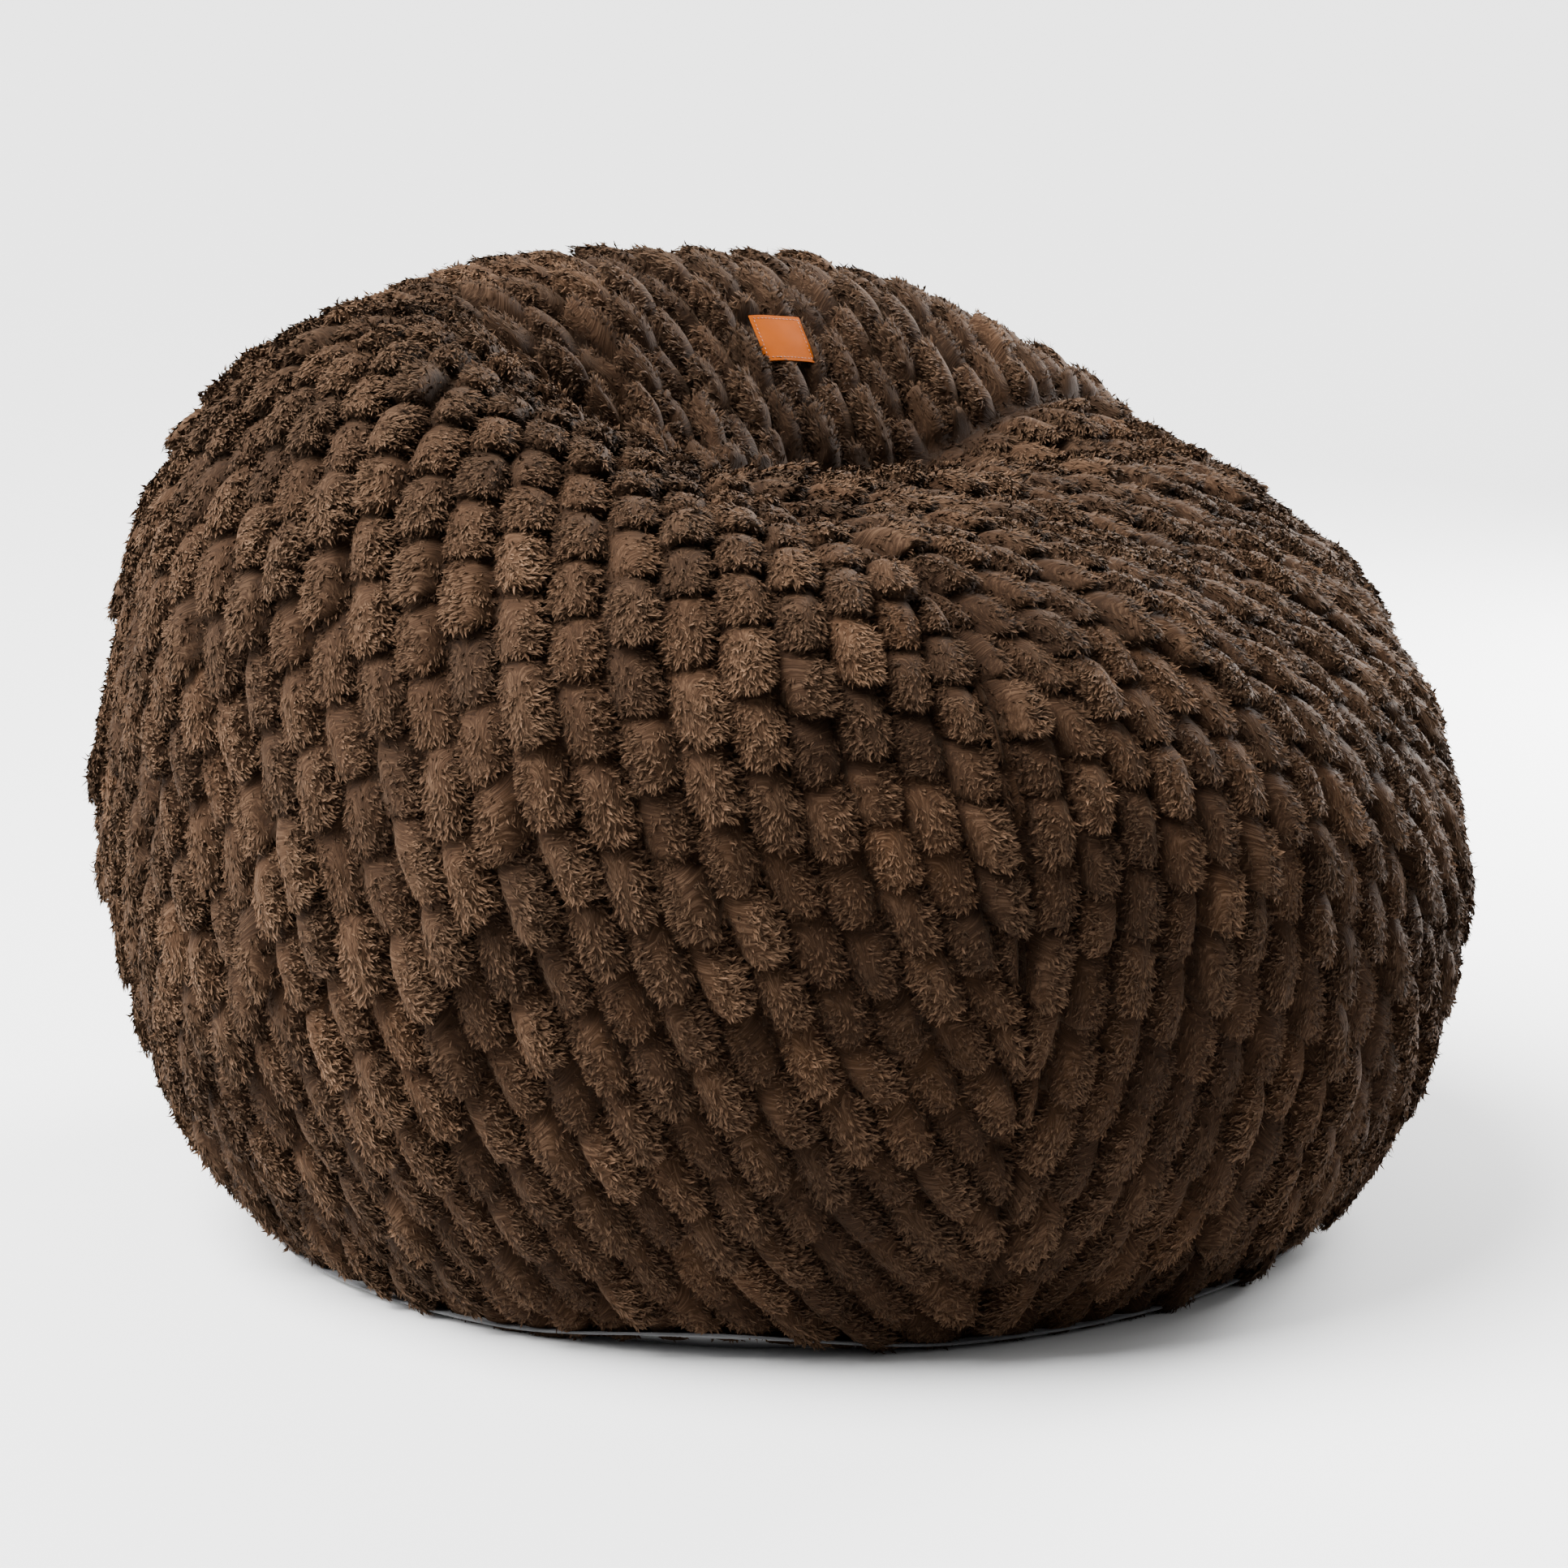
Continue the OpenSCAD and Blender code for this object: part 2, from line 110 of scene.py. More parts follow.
widest = bagRaw(bagForm["beltAt"], bagForm["seamTurn"] + np.arange(0, 360, 360 / 54))
bagShift = np.array([-(widest[:, 0].max() + widest[:, 0].min()) / 2,
                     -(widest[:, 1].max() + widest[:, 1].min()) / 2, 0])


def bag(run, turn):
    return bagRaw(run, turn) + bagShift


def unit(v):
    return v / (np.linalg.norm(v, axis=-1, keepdims=True) + 1e-12)


def outward(run, turn):
    e = 0.004
    n = unit(np.cross(bag(run, turn + 0.5) - bag(run, turn - 0.5),
                      bag(np.minimum(1, run + e), turn) - bag(np.maximum(0, run - e), turn)))
    top = (np.asarray(run) > 0.999)[..., None]
    return np.where(top, np.array([0, 0, 1.0]), n)


def chance(a, b, k):  # a repeatable number from 0 to 1 for a pair of whole numbers
    return np.modf(np.abs(np.sin(a * 12.9898 + b * 78.233 + k * 37.719) * 43758.5453))[0]


def newObject(name, mesh, body, materials):
    obj = bpy.data.objects.new(name, mesh)
    bpy.context.scene.collection.objects.link(obj)
    for m in materials:
        mesh.materials.append(m)
    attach(obj, body)
    return obj


def gridMesh(name, cols, rows):  # a flat grid; its points are placed by row and column
    bm = bmesh.new()
    bmesh.ops.create_grid(bm, x_segments=cols, y_segments=rows, size=0.5)
    mesh = bpy.data.meshes.new(name)
    bm.to_mesh(mesh)
    bm.free()
    co = np.empty(len(mesh.vertices) * 3)
    mesh.vertices.foreach_get("co", co)
    co = co.reshape(-1, 3)
    col = np.rint((co[:, 0] + 0.5) * cols).astype(int)
    row = np.rint((co[:, 1] + 0.5) * rows).astype(int)
    return mesh, row, col


def setPoints(mesh, points):
    mesh.vertices.foreach_set("co", np.ascontiguousarray(points, np.float32).ravel())
    mesh.update()


def setValues(mesh, name, values):
    layer = mesh.attributes.new(name, "FLOAT", "POINT")
    layer.data.foreach_set("value", np.ascontiguousarray(values, np.float32).ravel())


def setVectors(mesh, name, values):
    layer = mesh.attributes.new(name, "FLOAT_VECTOR", "POINT")
    layer.data.foreach_set("vector", np.ascontiguousarray(values, np.float32).ravel())


def setUv(mesh, perVertex):
    layer = mesh.uv_layers.new(name="OFBake")
    loops = np.empty(len(mesh.loops), np.int32)
    mesh.loops.foreach_get("vertex_index", loops)
    layer.data.foreach_set("uv", np.ascontiguousarray(perVertex[loops], np.float32).ravel())


def smoothShade(mesh):
    mesh.polygons.foreach_set("use_smooth", np.ones(len(mesh.polygons), bool))
    mesh.update()


def group(name, inputs, outputs):
    g = bpy.data.node_groups.new(name, "ShaderNodeTree")
    for label, kind, value in inputs:
        s = g.interface.new_socket(name=label, in_out="INPUT", socket_type=kind)
        if value is not None:
            s.default_value = value
    for label, kind in outputs:
        g.interface.new_socket(name=label, in_out="OUTPUT", socket_type=kind)
    return g, g.nodes.new("NodeGroupInput"), g.nodes.new("NodeGroupOutput")


def node(tree, kind, **values):
    n = tree.nodes.new(kind)
    for key, value in values.items():
        if key in n.inputs:
            n.inputs[key].default_value = value
        else:
            setattr(n, key, value)
    return n


def link(tree, a, aName, b, bName):
    tree.links.new(a.outputs[aName], b.inputs[bName])


def ramp(tree, stops):
    n = tree.nodes.new("ShaderNodeValToRGB")
    e = n.color_ramp.elements
    while len(e) < len(stops):
        e.new(0.5)
    for i, (at, colour) in enumerate(stops):
        e[i].position = at
        e[i].color = (*colour, 1)
    return n


def makeWeave():  # woven cloth: threads over and under
    g, i, o = group("clothWeave",
                    [("Vector", "NodeSocketVector", None), ("Threads", "NodeSocketFloat", 900.0),
                     ("Unevenness", "NodeSocketFloat", 0.4)],
                    [("Height", "NodeSocketFloat"), ("Shade", "NodeSocketFloat")])
    noise = node(g, "ShaderNodeTexNoise", Scale=55.0, Detail=4.0)
    link(g, i, "Vector", noise, "Vector")
    parts = []
    for direction in ("X", "Y", "Z"):
        w = node(g, "ShaderNodeTexWave", bands_direction=direction, Distortion=0.6, Detail=1.0)
        link(g, i, "Vector", w, "Vector")
        link(g, i, "Threads", w, "Scale")
        parts.append(w)
    m1 = node(g, "ShaderNodeMath", operation="MULTIPLY")
    link(g, parts[0], "Fac", m1, 0)
    link(g, parts[1], "Fac", m1, 1)
    m2 = node(g, "ShaderNodeMath", operation="MAXIMUM")
    link(g, m1, 0, m2, 0)
    link(g, parts[2], "Fac", m2, 1)
    link(g, m2, 0, o, "Height")
    mix = node(g, "ShaderNodeMath", operation="MULTIPLY_ADD")
    link(g, noise, "Fac", mix, 0)
    link(g, i, "Unevenness", mix, 1)
    half = node(g, "ShaderNodeMath", operation="MULTIPLY")
    half.inputs[1].default_value = 0.5
    link(g, m2, 0, half, 0)
    link(g, half, 0, mix, 2)
    link(g, mix, 0, o, "Shade")
    return g


weave = makeWeave()


def clothMaterial(name, dark, light, threads, rough=0.9, sheen=0.2, bump=0.25):
    mat = bpy.data.materials.new(name)
    mat.use_nodes = True
    t = mat.node_tree
    shader = t.nodes["Principled BSDF"]
    shader.inputs["Roughness"].default_value = rough
    shader.inputs["Sheen Weight"].default_value = sheen
    shader.inputs["Sheen Roughness"].default_value = 0.5
    coords = node(t, "ShaderNodeTexCoord")
    w = node(t, "ShaderNodeGroup")
    w.node_tree = weave
    w.inputs["Threads"].default_value = threads
    link(t, coords, "Object", w, "Vector")
    r = ramp(t, [(0.05, dark), (0.75, light)])
    link(t, w, "Shade", r, "Fac")
    link(t, r, "Color", shader, "Base Color")
    b = node(t, "ShaderNodeBump", Strength=bump, Distance=0.0004)
    link(t, w, "Height", b, "Height")
    link(t, b, "Normal", shader, "Normal")
    return mat


plushLook = {
    # root, middle and tip colours of the pile; the near-black root is painted shade deep in the pile
    "root": (0.0028, 0.0010, 0.0003), "middle": (0.0160, 0.0076, 0.0035), "tip": (0.064, 0.0370, 0.0212),
    "sheen": 0.045, "sheenColour": (0.90, 0.62, 0.42, 1), "patchiness": 0.8,
}


def plushMaterial(name, strands):
    mat = bpy.data.materials.new(name)
    mat.use_nodes = True
    t = mat.node_tree
    shader = t.nodes["Principled BSDF"]
    shader.inputs["Roughness"].default_value = 0.8
    shader.inputs["Specular IOR Level"].default_value = 0.04
    shader.inputs["Sheen Weight"].default_value = plushLook["sheen"]
    shader.inputs["Sheen Roughness"].default_value = 0.4
    shader.inputs["Sheen Tint"].default_value = plushLook["sheenColour"]
    pile = node(t, "ShaderNodeAttribute", attribute_name="pile")
    tone = node(t, "ShaderNodeAttribute", attribute_name="tone")
    coords = node(t, "ShaderNodeTexCoord")
    patchy = node(t, "ShaderNodeTexNoise", Scale=9.0, Detail=3.0, Roughness=0.6)
    link(t, coords, "Object", patchy, "Vector")
    lock = node(t, "ShaderNodeAttribute", attribute_name="streak")
    spread = node(t, "ShaderNodeVectorMath", operation="MULTIPLY")
    spread.inputs[1].default_value = (1, 1, 1)
    link(t, lock, "Vector", spread, 0)
    fine = node(t, "ShaderNodeTexNoise", Scale=1.0, Detail=3.0, Roughness=0.65)
    link(t, spread, "Vector", fine, "Vector")
    amount = 1.2
    if strands:
        spread.inputs[1].default_value = (2.6, 1.1, 1.0)
    a = node(t, "ShaderNodeMath", operation="MULTIPLY_ADD")
    link(t, fine, "Fac", a, 0)
    a.inputs[1].default_value = amount
    a.inputs[2].default_value = -amount / 2
    b = node(t, "ShaderNodeMath", operation="ADD")
    link(t, pile, "Fac", b, 0)
    link(t, a, 0, b, 1)
    # painted shade: the pile value runs the colour from near-black at the roots and on low ground to lighter
    # tips
    colour = ramp(t, [(0.0, plushLook["root"]), (0.5, plushLook["middle"]), (1.0, plushLook["tip"])])
    link(t, b, 0, colour, "Fac")
    shade = node(t, "ShaderNodeMath", operation="MULTIPLY_ADD")
    link(t, patchy, "Fac", shade, 0)
    shade.inputs[1].default_value = plushLook["patchiness"]
    shade.inputs[2].default_value = 1 - plushLook["patchiness"] / 2
    both = node(t, "ShaderNodeMath", operation="MULTIPLY")
    link(t, shade, 0, both, 0)
    link(t, tone, "Fac", both, 1)
    mul = node(t, "ShaderNodeMix", data_type="RGBA", blend_type="MULTIPLY")
    mul.inputs[0].default_value = 1.0
    t.links.new(colour.outputs["Color"], mul.inputs[6])
    t.links.new(both.outputs[0], mul.inputs[7])
    t.links.new(mul.outputs[2], shader.inputs["Base Color"])
    bump = node(t, "ShaderNodeBump", Strength=0.9, Distance=0.0006 if strands else 0.0014)
    link(t, fine, "Fac", bump, "Height")
    link(t, bump, "Normal", shader, "Normal")
    return mat


plushGround = plushMaterial("plushGround", False)
plushStrand = plushMaterial("plushStrand", True)
# the base cloth is dark grey, 0.022 to 0.065: painted shade, the shadowed look of a lighter grey cloth under
# the bag
baseCloth = clothMaterial("baseCloth", (0.022, 0.022, 0.023), (0.065, 0.065, 0.068), 500, sheen=0.2)
print("materials ready")


plush = {
    "columnWidth": 0.0310, "rowPitch": 0.0500,      # one tuft
    "thickness": 0.014, "tuftHeight": 0.0168,
    "gridCols": 250, "gridRows": 256,
    "patternCells": 44, "relaxSteps": 16, "grainHold": 0.05,    # grid on which the flat pattern is solved
    "seamFade": 0.009, "seamDip": 0.006,
    "lump": 0.0065,
}

# Angle of the pile away from straight down the gore, in degrees towards the next gore.
# Each row is one height (base, lower side, belt, shoulder, top), with five places across the gore.
grain = {
    "left": [[5, 20, 42, 62, 80], [8, 24, 28, 41, 42], [14, 20, 12, 33, 33],
             [30, 16, -8, 20, 26], [60, 40, 5, 20, 20]],
    "right": [[-52, -24, 0, 20, 40], [2, -8, -10, -6, 0], [24, -10, -30, -45, -50],
              [4, -26, -40, -72, -85], [0, -30, -50, -80, -100]],
    "back": [[30, 30, 32, 34, 35], [42, 40, 38, 36, 36], [58, 50, 44, 40, 38],
             [80, 62, 48, 44, 45], [98, 72, 50, 46, 54]],
}
grainHeights = [0.04, 0.28, 0.52, 0.78, 0.98]
gores = {"right": 0, "back": 1, "left": 2}


def tableAt(table, run, side):  # bilinear, side from 0 to 1
    table = np.asarray(table, float)
    i = np.clip(np.interp(run, grainHeights, np.arange(5)), 0, 3.999)
    j = np.clip(side * 4, 0, 3.999)
    i0, j0 = i.astype(int), j.astype(int)
    fi, fj = i - i0, j - j0
    return (table[i0, j0] * (1 - fi) * (1 - fj) + table[i0 + 1, j0] * fi * (1 - fj)
            + table[i0, j0 + 1] * (1 - fi) * fj + table[i0 + 1, j0 + 1] * fi * fj)


def evenRuns(turn, count):  # runs that lie evenly along the cloth
    r = np.linspace(0, 1, 1500)
    p = bag(r, turn)
    s = np.concatenate([[0], np.cumsum(np.linalg.norm(np.diff(p, axis=0), axis=1))])
    return np.interp(np.linspace(0, s[-1], count), s, r)


def pileFrame(name, run, turn, side):  # outward, pile and sideways directions
    n = outward(run, turn)
    e = 0.004
    down = unit(bag(np.maximum(run - e, 0), turn) - bag(np.minimum(run + e, 1), turn))
    down = unit(down - (down * n).sum(-1, keepdims=True) * n)
    east = np.cross(n, down)
    ahead = bag(run, turn + 0.5) - bag(run, turn - 0.5)
    east = east * np.sign((east * ahead).sum(-1, keepdims=True) + 1e-12)
    d = np.radians(tableAt(grain[name], run, side))[..., None]
    pile = unit(down * np.cos(d) + east * np.sin(d))
    return n, pile, np.cross(pile, n)


def flatPattern(name, k):  # lays the gore flat with little stretch, near its grain
    m = plush["patternCells"]
    start = bagForm["seamTurn"] + 120 * k
    runs = evenRuns(start + 60, m + 1)
    runs[-1] = 0.998
    run, side = np.meshgrid(runs, np.linspace(0, 1, m + 1), indexing="ij")
    turn = start + 120 * side
    p = bag(run, turn)
    n, pile, cross = pileFrame(name, run, turn, side)
    index = np.arange((m + 1) ** 2).reshape(m + 1, m + 1)
    pairs = [(index[:-1], index[1:]), (index[:, :-1], index[:, 1:]),
             (index[:-1, :-1], index[1:, 1:]), (index[1:, :-1], index[:-1, 1:])]
    a = np.concatenate([x.ravel() for x, y in pairs])
    b = np.concatenate([y.ravel() for x, y in pairs])
    step = p.reshape(-1, 3)[b] - p.reshape(-1, 3)[a]
    weight = 1 / (np.linalg.norm(step, axis=1) + 0.004)
    total = (m + 1) ** 2
    system = np.zeros((total, total))
    np.add.at(system, (a, a), weight)
    np.add.at(system, (b, b), weight)
    np.add.at(system, (a, b), -weight)
    np.add.at(system, (b, a), -weight)
    system[np.arange(total), np.arange(total)] += 1e-6
    inverse = np.linalg.inv(system)
    sideways = cross.reshape(-1, 3)
    along = pile.reshape(-1, 3)
    ends = [((step * sideways[e]).sum(-1), (step * along[e]).sum(-1), e) for e in (a, b)]
    down, over = np.gradient(p, axis=0), np.gradient(p, axis=1)
    dc, dt = (down * cross).sum(-1), (down * pile).sum(-1)
    oc, ot = (over * cross).sum(-1), (over * pile).sum(-1)
    det = dc * ot - dt * oc
    turnBy = np.zeros(total)
    for _ in range(plush["relaxSteps"]):
        c, s = np.cos(turnBy), np.sin(turnBy)
        du = sum(c[e] * x - s[e] * y for x, y, e in ends) * 0.5 * weight
        dv = sum(s[e] * x + c[e] * y for x, y, e in ends) * 0.5 * weight
        ru, rv = np.zeros(total), np.zeros(total)
        np.add.at(ru, b, du)
        np.add.at(ru, a, -du)
        np.add.at(rv, b, dv)
        np.add.at(rv, a, -dv)
        u, v = (inverse @ ru).reshape(m + 1, m + 1), (inverse @ rv).reshape(m + 1, m + 1)
        ud, uo = np.gradient(u, axis=0), np.gradient(u, axis=1)
        vd, vo = np.gradient(v, axis=0), np.gradient(v, axis=1)
        uc, ut = (ud * ot - uo * dt) / det, (uo * dc - ud * oc) / det
        vc, vt = (vd * ot - vo * dt) / det, (vo * dc - vd * oc) / det
        angle = np.arctan2(vc - ut, uc + vt)
        angle[-3:] = angle[-4]
        turnBy = (angle * (1 - plush["grainHold"])).ravel()
    c, s = np.cos(angle)[..., None], np.sin(angle)[..., None]
    return runs, u, v, unit(pile * c + cross * s), unit(cross * c - pile * s)


def bilinear(field, fi, fj):
    i0 = np.clip(fi.astype(int), 0, field.shape[0] - 2)
    j0 = np.clip(fj.astype(int), 0, field.shape[1] - 2)
    a, b = fi - i0, fj - j0
    if field.ndim == 3:
        a, b = a[..., None], b[..., None]
    return (field[i0, j0] * (1 - a) * (1 - b) + field[i0 + 1, j0] * a * (1 - b)
            + field[i0, j0 + 1] * (1 - a) * b + field[i0 + 1, j0 + 1] * a * b)


def tuftAt(u, v, k):  # column, row, place across and along one tuft
    col = np.floor(u / plush["columnWidth"])
    shift = 0.5 * (col % 2) + 0.16 * (chance(col, 3 * k, 5) - 0.5)
    w = v / plush["rowPitch"] + shift
    w = w + 0.06 * np.sin(col * 2.1 + v * 21)
    row = np.floor(w)
    across = u / plush["columnWidth"] - col - 0.5
    return col, row, across, w - row


def tuftHeight(col, row, across, along, k):  # 0 on the backing cloth, about 1 on a tuft's crest
    skew = 0.42 * (chance(col, row, 14 + k) - 0.5) * (along - 0.5)
    lean = 0.08 * (chance(col, row, 11 + k) - 0.5) + skew
    wide = 0.31 + 0.15 * smooth(-0.05, 0.40, along) + 0.04 * chance(col, row, 12 + k)
    x = np.abs(across - lean) / wide
    body = np.clip(1 - x ** 2.4, 0, 1) ** 0.62
    rise = 0.42 + 0.58 * smooth(0.0, 0.60, along)
    end = np.clip(1 - np.clip((along - 0.90) / 0.10, 0, 1) ** 2.0, 0, 1) ** 0.5
    corner = smooth(1.35, 0.80, np.hypot(x * 0.9, np.clip((along - 0.68) / 0.32, 0, 2)))
    high = 0.66 + 0.50 * chance(col, row, 13 + k)
    return body * rise * end * (0.45 + 0.55 * corner) * high


def combed(col, row, across, along, k):  # how the fibres lie on a tuft: sideways and lengthwise
    side = 0.70 * np.clip(across * 2.6, -1.2, 1.2) + 2.2 * (chance(col, row, 41 + k) - 0.5)
    return side, 0.40 + 0.40 * along


def tuftToneAndSheen(col, row, k):  # random tone per tuft; one tuft in ten is made 30% lighter, a painted sheen of pile brushed the way that catches the light
    tone = 0.78 + 0.44 * chance(col, row, 21 + k)
    # painted sheen: one tuft in ten made 30% lighter
    return np.where(chance(col, row, 22 + k) > 0.90, tone * 1.30, tone)


waves = [(rng.normal(size=3) * 14, rng.uniform(0, 6.28)) for _ in range(14)]


def lumps(p):  # gentle unevenness of the loose fill
    total = np.zeros(p.shape[:-1])
    for direction, phase in waves:
        total += np.sin(p @ direction + phase)
    return plush["lump"] * total / math.sqrt(len(waves))


def puckers(p, turn):  # gathers that run out from the pinch
    d = p[..., :2] - np.array([-bagForm["pinchLeft"] + bagShift[0], -bagForm["pinchFront"]])
    r = np.linalg.norm(d, axis=-1)
    fold = np.sin(np.radians(turn) * 11 + 3 * np.sin(np.radians(turn) * 2 + 1))
    return 0.007 * fold * np.exp(-((r - 0.055) / 0.075) ** 2) * smooth(0.0, 0.03, r)


hemLift = {"low": 0.0, "front": 0.013, "frontTurn": 238, "spread": 24}


def hemRise(turn):  # the cover's lower edge rides up at the front
    away = np.abs((turn - hemLift["frontTurn"] + 180) % 360 - 180)
    return hemLift["low"] + (hemLift["front"] - hemLift["low"]) * smooth(hemLift["spread"], 0, away)


def cardFrame(nodeName, tall):  # centre, right, up and outward of a flat label
    corners = np.array([v.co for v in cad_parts[nodeName].data.vertices], float)
    axes = np.linalg.svd(corners - corners.mean(0))[2]
    spans = [np.ptp(corners @ x) for x in axes]
    longest, middle, thin = (axes[i] for i in np.argsort(spans)[::-1])
    centre = np.array([((corners @ x).min() + (corners @ x).max()) / 2 for x in axes]) @ axes
    up = longest if tall else middle
    out = thin * np.sign(thin @ (centre - np.array([0, 0, 0.3])) + 1e-9)
    up = up * np.sign(up[2])
    return centre, np.cross(up, out), up, out


labelCard = cardFrame("brand_label", False)
labelSize = (0.048, 0.040)


def underLabel(p):  # 1 beneath the label, but for its lower edge, which the plush overlaps
    centre, right, up, out = labelCard
    a, b, c = ((p - centre) @ x for x in (right, up, out))
    fade = 0.004
    inside = smooth(labelSize[0] / 2 + fade, labelSize[0] / 2 - fade, np.abs(a))
    inside = inside * smooth(labelSize[1] / 2 + fade, labelSize[1] / 2, b) * smooth(-labelSize[1] / 2 - 0.002,
                                                                                 -labelSize[1] / 2 + 0.007, b)
    return inside * (np.abs(c) < 0.04)


def goreFields(name, k):
    rows, cols = plush["gridRows"], plush["gridCols"]
    start = bagForm["seamTurn"] + 120 * k
    runs = evenRuns(start + 60, rows + 1)
    run, side = np.meshgrid(runs, np.linspace(0, 1, cols + 1), indexing="ij")
    turn = start + 120 * side
    base = bag(run, turn)
    n = outward(run, turn)
    patternRuns, u, v, pile, cross = flatPattern(name, k)
    fi = np.interp(run, patternRuns, np.arange(len(patternRuns)))
    fj = side * plush["patternCells"]
    u, v, pile, cross = (bilinear(x, fi, fj) for x in (u, v, pile, cross))
    pile = unit(pile - (pile * n).sum(-1, keepdims=True) * n)
    cross = np.cross(pile, n)
    col, row, across, along = tuftAt(u, v, k)
    h = tuftHeight(col, row, across, along, k)
    edge = np.minimum(side, 1 - side) * 120
    radius = np.linalg.norm(base[..., :2] - bagShift[:2], axis=-1)
    toSeam = np.radians(edge) * np.maximum(radius, 0.02)
    nearPinch = np.linalg.norm(base - bag(1.0, 0.0), axis=-1)
    toSeam = np.where(nearPinch < 0.12, np.radians(edge) * nearPinch, toSeam)
    seam = smooth(0, plush["seamFade"], toSeam)
    h = h * seam * smooth(0.0, 0.025, nearPinch)
    h = h * (0.35 + 0.65 * smooth(0.0, 0.035, run))
    h = h * (1 - 0.8 * underLabel(base))
    settle = lumps(base) + puckers(base, turn)
    settle = settle * smooth(0, 0.10, base[..., 2]) - plush["seamDip"] * (1 - smooth(0, 0.03, toSeam))
    settle = 0.004 * np.log1p(np.exp(np.clip((settle + 0.003) / 0.004, -20, 20)))    # never below the liner
    ground = base + n * (settle - plush["thickness"] + 0.0012)[..., None]
    ground += n * (0.008 * (1 - smooth(0.0, 0.03, run)))[..., None]
    ground[..., 2] -= (ground[0, :, 2] - 0.0008)[None] * (1 - smooth(0, 0.045, run))
    ground[..., 2] += hemRise(turn) * (1 - smooth(0, 0.07, run))
    lift = plush["tuftHeight"] * h
    overhang = lift * 0.62 * smooth(0.30, 0.90, along)
    points = ground + n * lift[..., None] + pile * overhang[..., None]
    points[..., 2] = np.maximum(points[..., 2], 0.0006)
    tone = tuftToneAndSheen(col, row, k)
    side2, ahead = combed(col, row, across, along, k)
    size = np.hypot(side2, ahead)
    a, b = across * plush["columnWidth"], along * plush["rowPitch"]
    streak = np.stack([(a * ahead - b * side2) / size / 0.0009, (a * side2 + b * ahead) / size / 0.007,
                       60 * chance(col, row, 42 + k)], -1)
    return dict(streak=streak, points=points, label=underLabel(base), n=n, pile=pile, cross=cross,
                u=u, v=v, h=h, tone=tone, side=side, toSeam=toSeam)


def buildGore(name, k):
    f = goreFields(name, k)
    mesh, row, col = gridMesh("plush_" + name, plush["gridCols"], plush["gridRows"])
    setPoints(mesh, f["points"][row, col])
    # painted shade: the pile value falls with tuft height, so the low ground between tufts is darker
    setValues(mesh, "pile", (0.32 + 0.25 * f["h"])[row, col])
    setValues(mesh, "tone", f["tone"][row, col])
    setVectors(mesh, "streak", f["streak"][row, col])
    rise = row / plush["gridRows"]
    setUv(mesh, np.stack([f["side"][row, col], rise], -1) * 0.98 + 0.01)
    smoothShade(mesh)
    obj = newObject("plush_" + name, mesh, "bag", [plushGround])
    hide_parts("cover_gore_" + name)
    return f


strand = {
    "perPiece": 92000, "pieces": {"left": 3, "right": 3, "back": 2},
    "length": 0.0078, "halfWidth": 0.00090, "clump": 0.0034,
}


